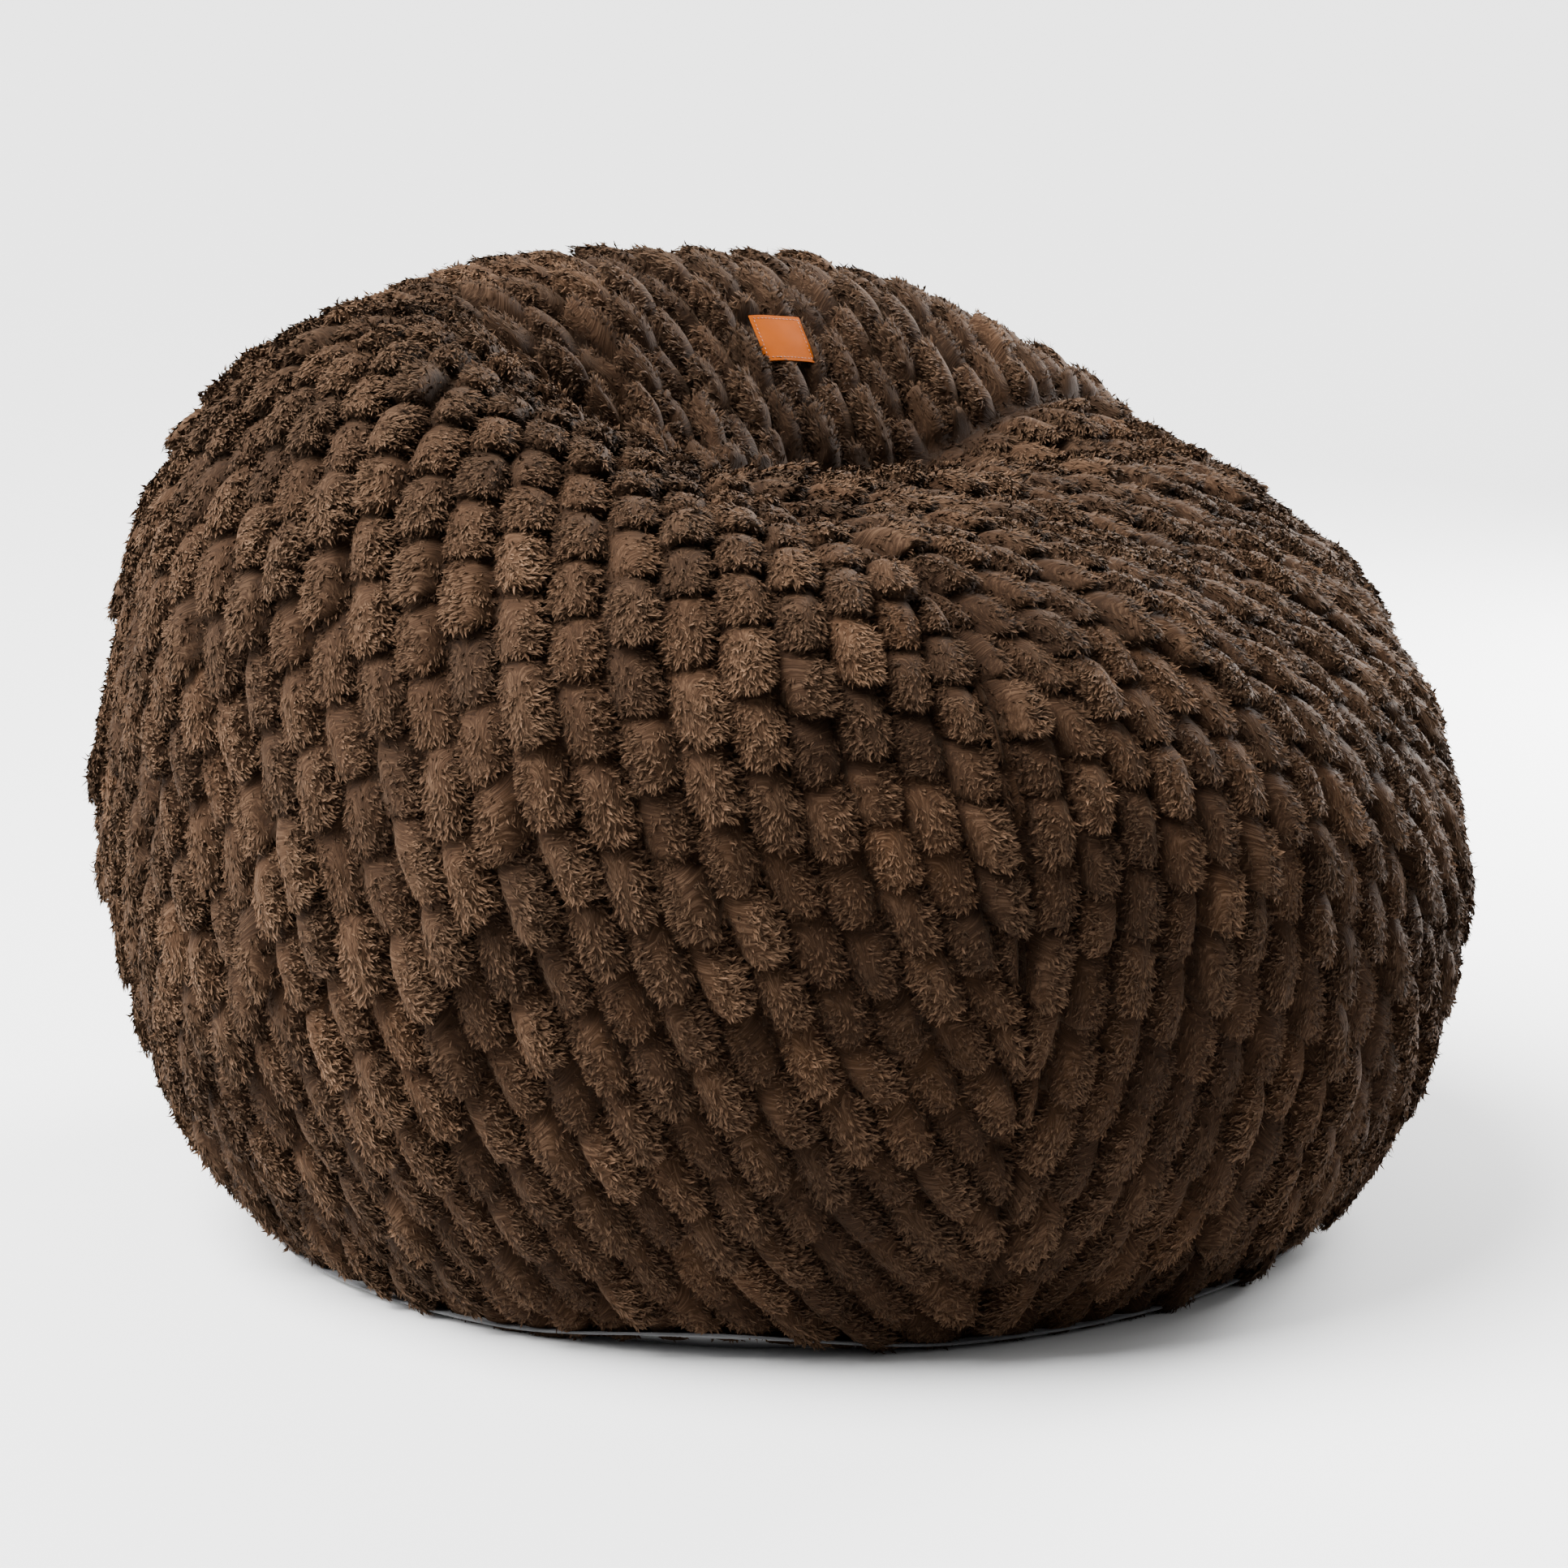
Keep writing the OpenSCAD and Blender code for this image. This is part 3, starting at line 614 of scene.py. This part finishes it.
def buildPile(name, k, f):
    rows, cols = f["h"].shape
    p = f["points"]
    area = np.linalg.norm(np.cross(p[1:, :-1] - p[:-1, :-1], p[:-1, 1:] - p[:-1, :-1]), axis=-1)
    atSeam = 1 - smooth(0.002, 0.012, f["toSeam"][:-1, :-1])      # the pile closes over the seams
    want = area * (0.40 + f["h"][:-1, :-1] + 0.9 * atSeam) * (1 - 0.97 * f["label"][:-1, :-1])
    odds = (want / want.sum()).ravel()
    count = strand["perPiece"] * strand["pieces"][name]
    cell = rng.choice(odds.size, size=count, p=odds)
    fi = cell // (cols - 1) + rng.random(count)
    fj = cell % (cols - 1) + rng.random(count)
    root, n, pile, cross = (bilinear(f[key], fi, fj) for key in ("points", "n", "pile", "cross"))
    u, v, h, toSeam = (bilinear(f[key], fi, fj) for key in ("u", "v", "h", "toSeam"))
    col, row, across, along = tuftAt(u, v, k)
    high = f["h"][fi.astype(int), fj.astype(int)]
    cu, cv = np.floor(u / strand["clump"]), np.floor(v / (strand["clump"] * 1.3))
    clumpSide = chance(cu, cv, 31)[:, None] - 0.5
    clumpPile = chance(cu, cv, 32)[:, None] - 0.5
    wild = rng.normal(size=(count, 3)) * 0.18
    side, ahead = (x[:, None] for x in combed(col, row, across, along, k))
    size = np.hypot(side, ahead)
    side, ahead = side / size, ahead / size
    lead = unit(n * (0.20 + 0.22 * rng.random((count, 1))) + pile * (ahead + 0.9 * clumpPile)
                + cross * (side + 1.0 * clumpSide) + wild)
    length = strand["length"] * (0.55 + 0.65 * rng.random(count)) * (0.55 + 0.50 * high)
    length = (length * (1.35 - 0.35 * smooth(0, 0.012, toSeam)))[:, None]
    curl = unit(pile * (ahead + 1.8 * clumpPile) + cross * (side + 2.0 * clumpSide) - n * 0.25 + wild * 2.6)
    root = root - n * 0.0005
    middle = root + lead * length * 0.5
    tip = middle + unit(lead * 0.35 + curl * 0.75) * length * 0.5
    across3 = unit(np.cross(lead, unit(n + rng.normal(size=(count, 3)) * 0.35)))
    wide = (strand["halfWidth"] * (0.6 + 0.8 * rng.random(count)))[:, None]
    bm = bmesh.new()  # one strand: a narrow leaf, bent across its middle
    bmesh.ops.create_circle(bm, cap_ends=True, segments=4, radius=1)
    bmesh.ops.triangulate(bm, faces=bm.faces[:])
    leaf = bpy.data.meshes.new("leaf")
    bm.to_mesh(leaf)
    bm.free()
    corners = np.array([v.co[:2] for v in leaf.vertices])
    tris = np.array([p.vertices[:] for p in leaf.polygons])
    bpy.data.meshes.remove(leaf)
    # the circle's corners lie at the root, the tip and either side
    order = [np.argmin(corners @ np.array(d)) for d in ((0, 1), (0, -1), (1, 0), (-1, 0))]
    place = {order[0]: root, order[1]: tip,
             order[2]: middle - across3 * wide, order[3]: middle + across3 * wide}
    # painted shade: each strand is darkest at its root (0.15) and lightest at its tip
    shade = {order[0]: 0.15, order[1]: 1.0, order[2]: 0.55, order[3]: 0.55}
    sideways = {order[0]: 0.0, order[1]: 0.0, order[2]: -1.0, order[3]: 1.0}
    points = np.stack([place[i] for i in range(4)], 1)
    points[..., 2] = np.maximum(points[..., 2], 0.0004)
    fade = np.stack([np.full(count, shade[i]) for i in range(4)], 1)
    streak = np.stack([np.full(count, sideways[i]) for i in range(4)], 1)
    streak = np.stack([streak, fade, np.repeat(rng.random(count)[:, None] * 60, 4, 1)], -1)
    # painted shade: strands on low tufts stay darker than those on high ones
    fade = 0.12 + fade * (0.45 + 0.50 * np.clip(high, 0, 1.1))[:, None]
    tone = tuftToneAndSheen(col, row, k) * (0.82 + 0.36 * chance(cu, cv, 33))
    tone = np.repeat(tone[:, None], 4, 1)
    order = np.argsort(rng.random(count))
    for part in range(strand["pieces"][name]):
        pick = order[part * strand["perPiece"]:(part + 1) * strand["perPiece"]]
        m = len(pick)
        mesh = bpy.data.meshes.new("pile_%s_%d" % (name, part + 1))
        mesh.vertices.add(m * 4)
        mesh.loops.add(m * 6)
        mesh.polygons.add(m * 2)
        faces = (np.arange(m)[:, None, None] * 4 + tris[None]).reshape(-1, 3)
        mesh.loops.foreach_set("vertex_index", faces.ravel().astype(np.int32))
        mesh.polygons.foreach_set("loop_start", np.arange(0, m * 6, 3, dtype=np.int32))
        mesh.update(calc_edges=True)
        setPoints(mesh, points[pick].reshape(-1, 3))
        setValues(mesh, "pile", fade[pick])
        setValues(mesh, "tone", tone[pick])
        setVectors(mesh, "streak", streak[pick])
        across2 = int(math.ceil(math.sqrt(m)))
        cells = np.stack([np.arange(m) % across2, np.arange(m) // across2], -1)[:, None, :] + 0.5
        setUv(mesh, ((cells + corners[None] * 0.42) / across2).reshape(-1, 2))
        mesh.validate()
        newObject("pile_%s_%d" % (name, part + 1), mesh, "bag", [plushStrand])


for name, k in gores.items():
    fields = buildGore(name, k)
    buildPile(name, k, fields)
    print("gore", name, "done")


baseLook = {
    # how far the rim stands in from the bag's form, how much more away from the front, and its rise
    "rimInset": 0.0105, "rimTuck": 0.010, "rimOver": 0.005,
    "clear": 0.0006,      # above the floor
    "slotHalf": 0.0145, "slotEnd": 0.317, "slotHeight": 0.009, "thickness": 0.0018,
    "columns": 130, "rows": 40, "fold": 3, "flat": 31, "puff": 0.0012,
}


def buildBaseCloth(name, side, nodeName):  # half a disc with a fold at the zip and a rim at its edge
    look = baseLook
    mesh, row, col = gridMesh("base_cloth_" + name, look["columns"], look["rows"])
    angle = np.pi * (np.arange(look["columns"] + 1) / look["columns"])
    angle = np.clip(angle, 0.002, np.pi - 0.002)
    turn = np.degrees(angle) if side > 0 else 360 - np.degrees(angle)
    edge = bag(0.0, turn) * np.array([1, 1, 0])
    shown = (hemRise(turn) / hemLift["front"])[:, None]
    tuck = look["rimInset"] + look["rimTuck"] * (1 - shown)
    foot = edge - outward(0.03, turn) * np.array([1, 1, 0]) * tuck
    slot = smooth(look["slotEnd"] + 0.012, look["slotEnd"], np.abs(foot[:, 0]))
    inner = foot.copy()
    inner[:, 1] = side * (0.0004 + look["slotHalf"] * slot)
    points = np.zeros((look["rows"] + 1, look["columns"] + 1, 3))
    for r in range(look["rows"] + 1):
        if r <= look["fold"]:      # fold that stands up along the zip
            points[r] = inner
            stand = look["slotHeight"] * (0.25 + 0.75 * slot)
            points[r, :, 2] = look["clear"] + stand * (1 - r / look["fold"])
        elif r <= look["flat"]:    # the flat of the base
            t = (r - look["fold"]) / (look["flat"] - look["fold"])
            points[r] = inner * (1 - t) + foot * t
            wave = 0.5 + 0.5 * np.sin(foot[:, 0] * 60 + 9 * t)
            points[r, :, 2] = look["clear"] + look["puff"] * np.sin(np.pi * t) ** 2 * wave
        else:                      # the rim
            t = (r - look["flat"]) / (look["rows"] - look["flat"])
            top = hemRise(turn) + look["rimOver"]
            run = 0.055 * t
            wall = bag(run, turn)
            wall = wall - outward(np.maximum(run, 0.03), turn) * tuck
            points[r] = foot + (wall - foot) * t
            points[r, :, 2] = look["clear"] + (top - look["clear"]) * t ** 1.2
    setPoints(mesh, points[row, col])
    setUv(mesh, np.stack([col / look["columns"], row / look["rows"]], -1) * 0.98 + 0.01)
    smoothShade(mesh)
    obj = newObject("base_cloth_" + name, mesh, "bag", [baseCloth])
    thick = obj.modifiers.new("thickness", "SOLIDIFY")
    thick.thickness = look["thickness"]
    facing = sum(p.area * p.normal.z for p in mesh.polygons)
    thick.offset = -1.0 if facing < 0 else 1.0      # grows upward, off the floor
    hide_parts(nodeName)


buildBaseCloth("front", -1, "base_panel_front")
buildBaseCloth("rear", 1, "base_panel_rear")
print("base ready")


labelLook = {"thickness": 0.0009, "cells": 44, "bow": 0.0016, "cornerDip": 0.0022,
             "colour": ((0.150, 0.0300, 0.0), (0.220, 0.0460, 0.0)),
             "thread": ((0.09, 0.018, 0.0), (0.14, 0.030, 0.0))}
careLook = {"size": (0.032, 0.046), "thickness": 0.0004, "cells": 36, "bow": 0.004,
            "colour": ((0.62, 0.62, 0.60), (0.86, 0.86, 0.84))}


def labelPoint(a, b):  # a point of the label's face; its lower corners sink into the plush
    centre, right, up, out = labelCard
    x, y = a / labelSize[0] * 2, b / labelSize[1] * 2
    dip = labelLook["cornerDip"] * smooth(0.1, 1.0, -y) * (0.4 + 0.6 * np.abs(x) ** 2)
    rise = labelLook["bow"] * (1 - x ** 2) - dip
    rise = rise + 0.0004 * np.sin(x * 4 + 1) * np.cos(y * 3)
    return centre + a[..., None] * right + b[..., None] * up + rise[..., None] * out


def buildCard(name, size, cells, place, thickness, material, nodeName):
    mesh, row, col = gridMesh(name, cells, cells)
    a = (col / cells - 0.5) * size[0]
    b = (row / cells - 0.5) * size[1]
    setPoints(mesh, place(a, b))
    setUv(mesh, np.stack([col, row], -1) / cells * 0.98 + 0.01)
    setVectors(mesh, "cloth", np.stack([a, b, a * 0], -1))
    smoothShade(mesh)
    obj = newObject(name, mesh, "bag", [material])
    thick = obj.modifiers.new("thickness", "SOLIDIFY")
    thick.thickness = thickness
    thick.offset = 0
    edge = obj.modifiers.new("edge", "BEVEL")
    edge.width = thickness * 0.3
    edge.segments = 2
    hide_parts(nodeName)
    return obj


def ribbonMaterial(name, colours, threads, rough, sheen):  # woven ribbon, by the cloth's own coordinates
    mat = bpy.data.materials.new(name)
    mat.use_nodes = True
    t = mat.node_tree
    shader = t.nodes["Principled BSDF"]
    shader.inputs["Roughness"].default_value = rough
    shader.inputs["Sheen Weight"].default_value = sheen
    shader.inputs["Specular IOR Level"].default_value = 0.06
    coords = node(t, "ShaderNodeAttribute", attribute_name="cloth")
    w = node(t, "ShaderNodeGroup")
    w.node_tree = weave
    w.inputs["Threads"].default_value = threads
    w.inputs["Unevenness"].default_value = 0.6
    link(t, coords, "Vector", w, "Vector")
    r = ramp(t, [(0.1, colours[0]), (0.8, colours[1])])
    link(t, w, "Shade", r, "Fac")
    link(t, r, "Color", shader, "Base Color")
    b = node(t, "ShaderNodeBump", Strength=0.5, Distance=0.0003)
    link(t, w, "Height", b, "Height")
    link(t, b, "Normal", shader, "Normal")
    return mat


orangeCloth = ribbonMaterial("orangeCloth", labelLook["colour"], 420, 0.85, 0.0)
satin = ribbonMaterial("satin", careLook["colour"], 600, 0.45, 0.1)
buildCard("label_cloth", labelSize, labelLook["cells"], labelPoint, labelLook["thickness"], orangeCloth,
          "brand_label")

careCard = cardFrame("care_label", True)


def carePoint(a, b):  # hangs from the base seam and curls a little
    centre, right, up, out = careCard
    y = b / careLook["size"][1] * 2
    rise = careLook["bow"] * (0.35 - smooth(1.0, -1.0, y) * 0.5) * np.cos(a / careLook["size"][0] * 1.6)
    return centre + a[..., None] * right + b[..., None] * up + rise[..., None] * out


buildCard("care_cloth", careLook["size"], careLook["cells"], carePoint, careLook["thickness"], satin,
          "care_label")


def buildStitches():  # one small rounded stitch, repeated round the label's edge
    bm = bmesh.new()
    bmesh.ops.create_uvsphere(bm, u_segments=10, v_segments=6, radius=1)
    stitch = bpy.data.meshes.new("stitch")
    bm.to_mesh(stitch)
    bm.free()
    shape = np.array([v.co for v in stitch.vertices], float)
    faces = [tuple(p.vertices) for p in stitch.polygons]
    bpy.data.meshes.remove(stitch)
    centre, right, up, out = labelCard
    inset, gap = 0.003, 0.0034
    spots = []
    w, h = labelSize[0] / 2 - inset, labelSize[1] / 2 - inset
    for i in range(int(2 * w / gap) + 1):
        x = -w + gap * (i + 0.2)
        if x < w:
            spots += [(x, h, 0), (x, -h, 0)]
    for i in range(int(2 * h / gap) + 1):
        y = -h + gap * (i + 0.2)
        if y < h:
            spots += [(w, y, 1), (-w, y, 1)]
    points, allFaces = [], []
    for x, y, upright in spots:
        at = labelPoint(np.array(x), np.array(y)) + out * labelLook["thickness"] * 0.55
        along, across = (up, right) if upright else (right, up)
        allFaces += [tuple(i + len(points) * len(shape) for i in f) for f in faces]
        points.append(at + shape[:, :1] * along * 0.00115 + shape[:, 1:2] * across * 0.00034
                      + shape[:, 2:] * out * 0.0003)
    mesh = bpy.data.meshes.new("label_thread")
    mesh.from_pydata(np.concatenate(points).tolist(), [], allFaces)
    smoothShade(mesh)
    obj = newObject("label_thread", mesh, "bag",
                    [clothMaterial("threadOrange", *labelLook["thread"], 2500, rough=0.6)])
    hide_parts("label_stitching")


buildStitches()
print("labels ready")


linerLook = {"inset": 0.0162, "cells": 50, "wrinkle": 0.0008, 
              "colour": ((0.50, 0.50, 0.47), (0.74, 0.74, 0.71))}
fillLook = {"inset": 0.0195, "columns": 160, "rows": 90, "chunk": 0.0032, "floor": 0.0168,
            "colours": ((0.62, 0.55, 0.40), (0.78, 0.74, 0.64), (0.50, 0.60, 0.66), (0.80, 0.62, 0.52))}
linerCloth = clothMaterial("linerCloth", *linerLook["colour"], 700, rough=0.85, sheen=0.1)


def buildLiner(name, k):
    m = linerLook["cells"]
    mesh, row, col = gridMesh("liner_" + name, m, m)
    start = bagForm["seamTurn"] + 120 * k
    run = evenRuns(start + 60, m + 1)[row] * 0.985 + 0.012
    turn = start + 120 * col / m
    p = bag(run, turn)
    wrinkle = np.sin(p @ np.array([38, 21, 55.0])) * np.sin(p @ np.array([-29, 44, 31.0]) + 2)
    p = p - outward(run, turn) * (linerLook["inset"] - linerLook["wrinkle"] * wrinkle * 0.5)[:, None]
    p[:, 2] = np.maximum(p[:, 2], 0.0166)
    setPoints(mesh, p)
    setUv(mesh, np.stack([col, row], -1) / m * 0.98 + 0.01)
    smoothShade(mesh)
    obj = newObject("liner_" + name, mesh, "bag", [linerCloth])
    thick = obj.modifiers.new("thickness", "SOLIDIFY")
    thick.thickness = 0.0008
    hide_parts("liner_gore_" + name)


for name, k in gores.items():
    buildLiner(name, k)


def fillMaterial():  # shredded foam: chips of several colours with open pores
    mat = bpy.data.materials.new("shreddedFoam")
    mat.use_nodes = True
    t = mat.node_tree
    shader = t.nodes["Principled BSDF"]
    shader.inputs["Roughness"].default_value = 0.95
    coords = node(t, "ShaderNodeTexCoord")
    chips = node(t, "ShaderNodeTexVoronoi", Scale=85.0)
    link(t, coords, "Object", chips, "Vector")
    split = node(t, "ShaderNodeSeparateColor")
    link(t, chips, "Color", split, "Color")
    c = fillLook["colours"]
    colour = ramp(t, [(0.0, c[0]), (0.35, c[1]), (0.7, c[2]), (1.0, c[3])])
    link(t, split, "Red", colour, "Fac")
    link(t, colour, "Color", shader, "Base Color")
    pores = node(t, "ShaderNodeTexNoise", Scale=900.0, Detail=3.0)
    link(t, coords, "Object", pores, "Vector")
    b = node(t, "ShaderNodeBump", Strength=0.6, Distance=0.0008)
    link(t, pores, "Fac", b, "Height")
    link(t, b, "Normal", shader, "Normal")
    return mat


def buildFill():  # the loose filling as one lumpy body
    look = fillLook
    mesh, row, col = gridMesh("foam_pieces", look["columns"], look["rows"])
    floorRows = 14
    turn = 360 * col / look["columns"]
    r = np.clip((row - floorRows) / (look["rows"] - floorRows), 0, 1)
    run = 0.03 + 0.97 * evenRuns(180, 400)[np.rint(r * 399).astype(int)]
    p = bag(run, turn)
    n = outward(run, turn)
    lump = np.abs(np.sin(p @ np.array([210, 160, 90.0])) * np.sin(p @ np.array([-130, 220, 180.0]) + 1)
                  * np.sin(p @ np.array([90, -170, 230.0]) + 2))
    p = p - n * (look["inset"] + look["chunk"] * (1 - lump))[:, None]
    p[:, 2] = np.maximum(p[:, 2], look["floor"] + 0.002 * lump)
    share = np.clip(row / floorRows, 0, 1)[:, None]
    middle = np.array([bagShift[0], bagShift[1], look["floor"]])
    p = np.where(row[:, None] < floorRows, middle + (p - middle) * share, p)
    setPoints(mesh, p)
    bm = bmesh.new()
    bm.from_mesh(mesh)
    bmesh.ops.remove_doubles(bm, verts=bm.verts[:], dist=1e-5)
    bmesh.ops.recalc_face_normals(bm, faces=bm.faces[:])
    bm.to_mesh(mesh)
    bm.free()
    smoothShade(mesh)
    obj = newObject("foam_pieces", mesh, "bag", [fillMaterial()])
    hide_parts("foam_fill")


buildFill()
print("inside ready")


zipLook = {
    "tape": ((0.010, 0.010, 0.011), (0.035, 0.035, 0.038)), "teeth": (0.016, 0.016, 0.018),
    "metal": (0.30, 0.30, 0.32), "metalWear": (0.55, 0.55, 0.56),
    "linerTape": ((0.45, 0.45, 0.43), (0.70, 0.70, 0.67)), "coil": (0.62, 0.62, 0.60),
}


def hardMaterial(name, colour, worn, metallic, rough):  # moulded or cast, with fine scratches and wear
    mat = bpy.data.materials.new(name)
    mat.use_nodes = True
    t = mat.node_tree
    shader = t.nodes["Principled BSDF"]
    shader.inputs["Metallic"].default_value = metallic
    coords = node(t, "ShaderNodeTexCoord")
    wear = node(t, "ShaderNodeTexNoise", Scale=160.0, Detail=6.0, Roughness=0.65)
    link(t, coords, "Object", wear, "Vector")
    r = ramp(t, [(0.40, colour), (0.72, worn)])
    link(t, wear, "Fac", r, "Fac")
    link(t, r, "Color", shader, "Base Color")
    roughness = node(t, "ShaderNodeMapRange")
    link(t, wear, "Fac", roughness, "Value")
    roughness.inputs["To Min"].default_value = rough - 0.12
    roughness.inputs["To Max"].default_value = rough + 0.15
    link(t, roughness, "Result", shader, "Roughness")
    grain = node(t, "ShaderNodeTexNoise", Scale=1500.0, Detail=2.0)
    link(t, coords, "Object", grain, "Vector")
    b = node(t, "ShaderNodeBump", Strength=0.15, Distance=0.0001)
    link(t, grain, "Fac", b, "Height")
    link(t, b, "Normal", shader, "Normal")
    return mat


def brighter(c, share):
    return tuple(min(1, x * share) for x in c)


tapeBlack = clothMaterial("tapeBlack", *zipLook["tape"], 1300, rough=0.85)
tapePale = clothMaterial("tapePale", *zipLook["linerTape"], 1300, rough=0.85)
resin = hardMaterial("toothResin", zipLook["teeth"], brighter(zipLook["teeth"], 2.2), 0.0, 0.42)
coilNylon = hardMaterial("coilNylon", zipLook["coil"], brighter(zipLook["coil"], 1.2), 0.0, 0.45)
zinc = hardMaterial("castZinc", zipLook["metal"], zipLook["metalWear"], 1.0, 0.36)
finishes = {
    "zip_tape_front": tapeBlack, "zip_tape_rear": tapeBlack,
    "zip_teeth_front": resin, "zip_teeth_rear": resin,
    "zip_stops": zinc, "zip_slider": zinc, "zip_pull_tab": zinc, "liner_base": linerCloth,
    "liner_zip_tape_front": tapePale, "liner_zip_tape_rear": tapePale, "liner_coil_front": coilNylon,
    "liner_coil_rear": coilNylon, "liner_zip_stops": zinc, "liner_zip_slider": zinc,
}
for name, material in finishes.items():
    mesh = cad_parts[name].data
    mesh.materials.clear()
    mesh.materials.append(material)
print("small parts ready")


cameraPlace = {
    "turn": -25.0, "rise": 12.1, "distance": 3.6,     # degrees from the front, degrees up, metres
    "aim": (0.0, 0.0, 0.330), "drop": 0.0237, "lens": 113.6,
}


studio = {
    "sun": 20, "sunAngle": 38, "sunDirection": (0.55, -0.08, -1.0),
    "rimRight": 420, "rimLeft": 230, "floor": 0.50,
    "dimSide": (-0.42, -0.91, 0.0), "dim": 0.06, "bright": 1.25,      # the studio is darker at the front
}


def placeCamera():
    a, e = math.radians(cameraPlace["turn"]), math.radians(cameraPlace["rise"])
    back = np.array([math.sin(a) * math.cos(e), -math.cos(a) * math.cos(e), math.sin(e)])
    right = np.array([math.cos(a), math.sin(a), 0])
    up = np.cross(back, right)
    eye = np.array(cameraPlace["aim"]) + back * cameraPlace["distance"]
    aim = np.array(cameraPlace["aim"]) - up * cameraPlace["drop"]
    cam = bpy.data.cameras.new("camera")
    cam.lens = cameraPlace["lens"]
    obj = bpy.data.objects.new("camera", cam)
    obj.location = eye
    obj.rotation_euler = Vector(aim - eye).to_track_quat("-Z", "Y").to_euler()
    bpy.context.scene.collection.objects.link(obj)
    bpy.context.scene.camera = obj


placeCamera()


def areaLight(name, place, aim, size, power):
    data = bpy.data.lights.new(name, "AREA")
    data.shape = "RECTANGLE"
    data.size, data.size_y = size
    data.energy = power
    obj = bpy.data.objects.new(name, data)
    obj.location = place
    obj.rotation_euler = (Vector(aim) - Vector(place)).to_track_quat("-Z", "Y").to_euler()
    bpy.context.scene.collection.objects.link(obj)


sun = bpy.data.lights.new("overhead", "SUN")
sun.energy = studio["sun"]
sun.angle = math.radians(studio["sunAngle"])
sunObject = bpy.data.objects.new("overhead", sun)
sunObject.rotation_euler = Vector(studio["sunDirection"]).to_track_quat("-Z", "Y").to_euler()
bpy.context.scene.collection.objects.link(sunObject)
areaLight("rimRight", (2.5, 0.9, 1.2), (0.1, 0, 0.35), (1.2, 1.8), studio["rimRight"])
areaLight("rimLeft", (-2.6, 0.6, 1.5), (-0.1, 0, 0.4), (1.4, 1.8), studio["rimLeft"])


def makeWorld():
    world = bpy.data.worlds.new("studio")
    world.use_nodes = True
    t = world.node_tree
    t.nodes["Background"].inputs["Color"].default_value = (1, 1, 1, 1)
    coords = node(t, "ShaderNodeTexCoord")
    toward = node(t, "ShaderNodeVectorMath", operation="DOT_PRODUCT")
    toward.inputs[1].default_value = studio["dimSide"]
    link(t, coords, "Generated", toward, 0)
    split = node(t, "ShaderNodeSeparateXYZ")
    link(t, coords, "Generated", split, "Vector")
    lift = node(t, "ShaderNodeMath", operation="MULTIPLY_ADD")
    link(t, split, "Z", lift, 0)
    lift.inputs[1].default_value = -0.9
    t.links.new(toward.outputs["Value"], lift.inputs[2])
    level = node(t, "ShaderNodeMapRange", interpolation_type="SMOOTHSTEP")
    link(t, lift, 0, level, "Value")
    level.inputs["From Min"].default_value = -0.35
    level.inputs["From Max"].default_value = 0.75
    level.inputs["To Min"].default_value = studio["bright"]
    level.inputs["To Max"].default_value = studio["dim"]
    link(t, level, "Result", t.nodes["Background"], "Strength")
    bpy.context.scene.world = world


makeWorld()

bm = bmesh.new()
bmesh.ops.create_grid(bm, x_segments=1, y_segments=1, size=30)
floorMesh = bpy.data.meshes.new("floor")
bm.to_mesh(floorMesh)
bm.free()
floor = bpy.data.objects.new("floor", floorMesh)
bpy.context.scene.collection.objects.link(floor)
floorMat = bpy.data.materials.new("floorWhite")
floorMat.use_nodes = True
floorShader = floorMat.node_tree.nodes["Principled BSDF"]
floorShader.inputs["Base Color"].default_value = (studio["floor"], studio["floor"], studio["floor"], 1)
floorShader.inputs["Roughness"].default_value = 0.8
floorMesh.materials.append(floorMat)
print("stage ready")
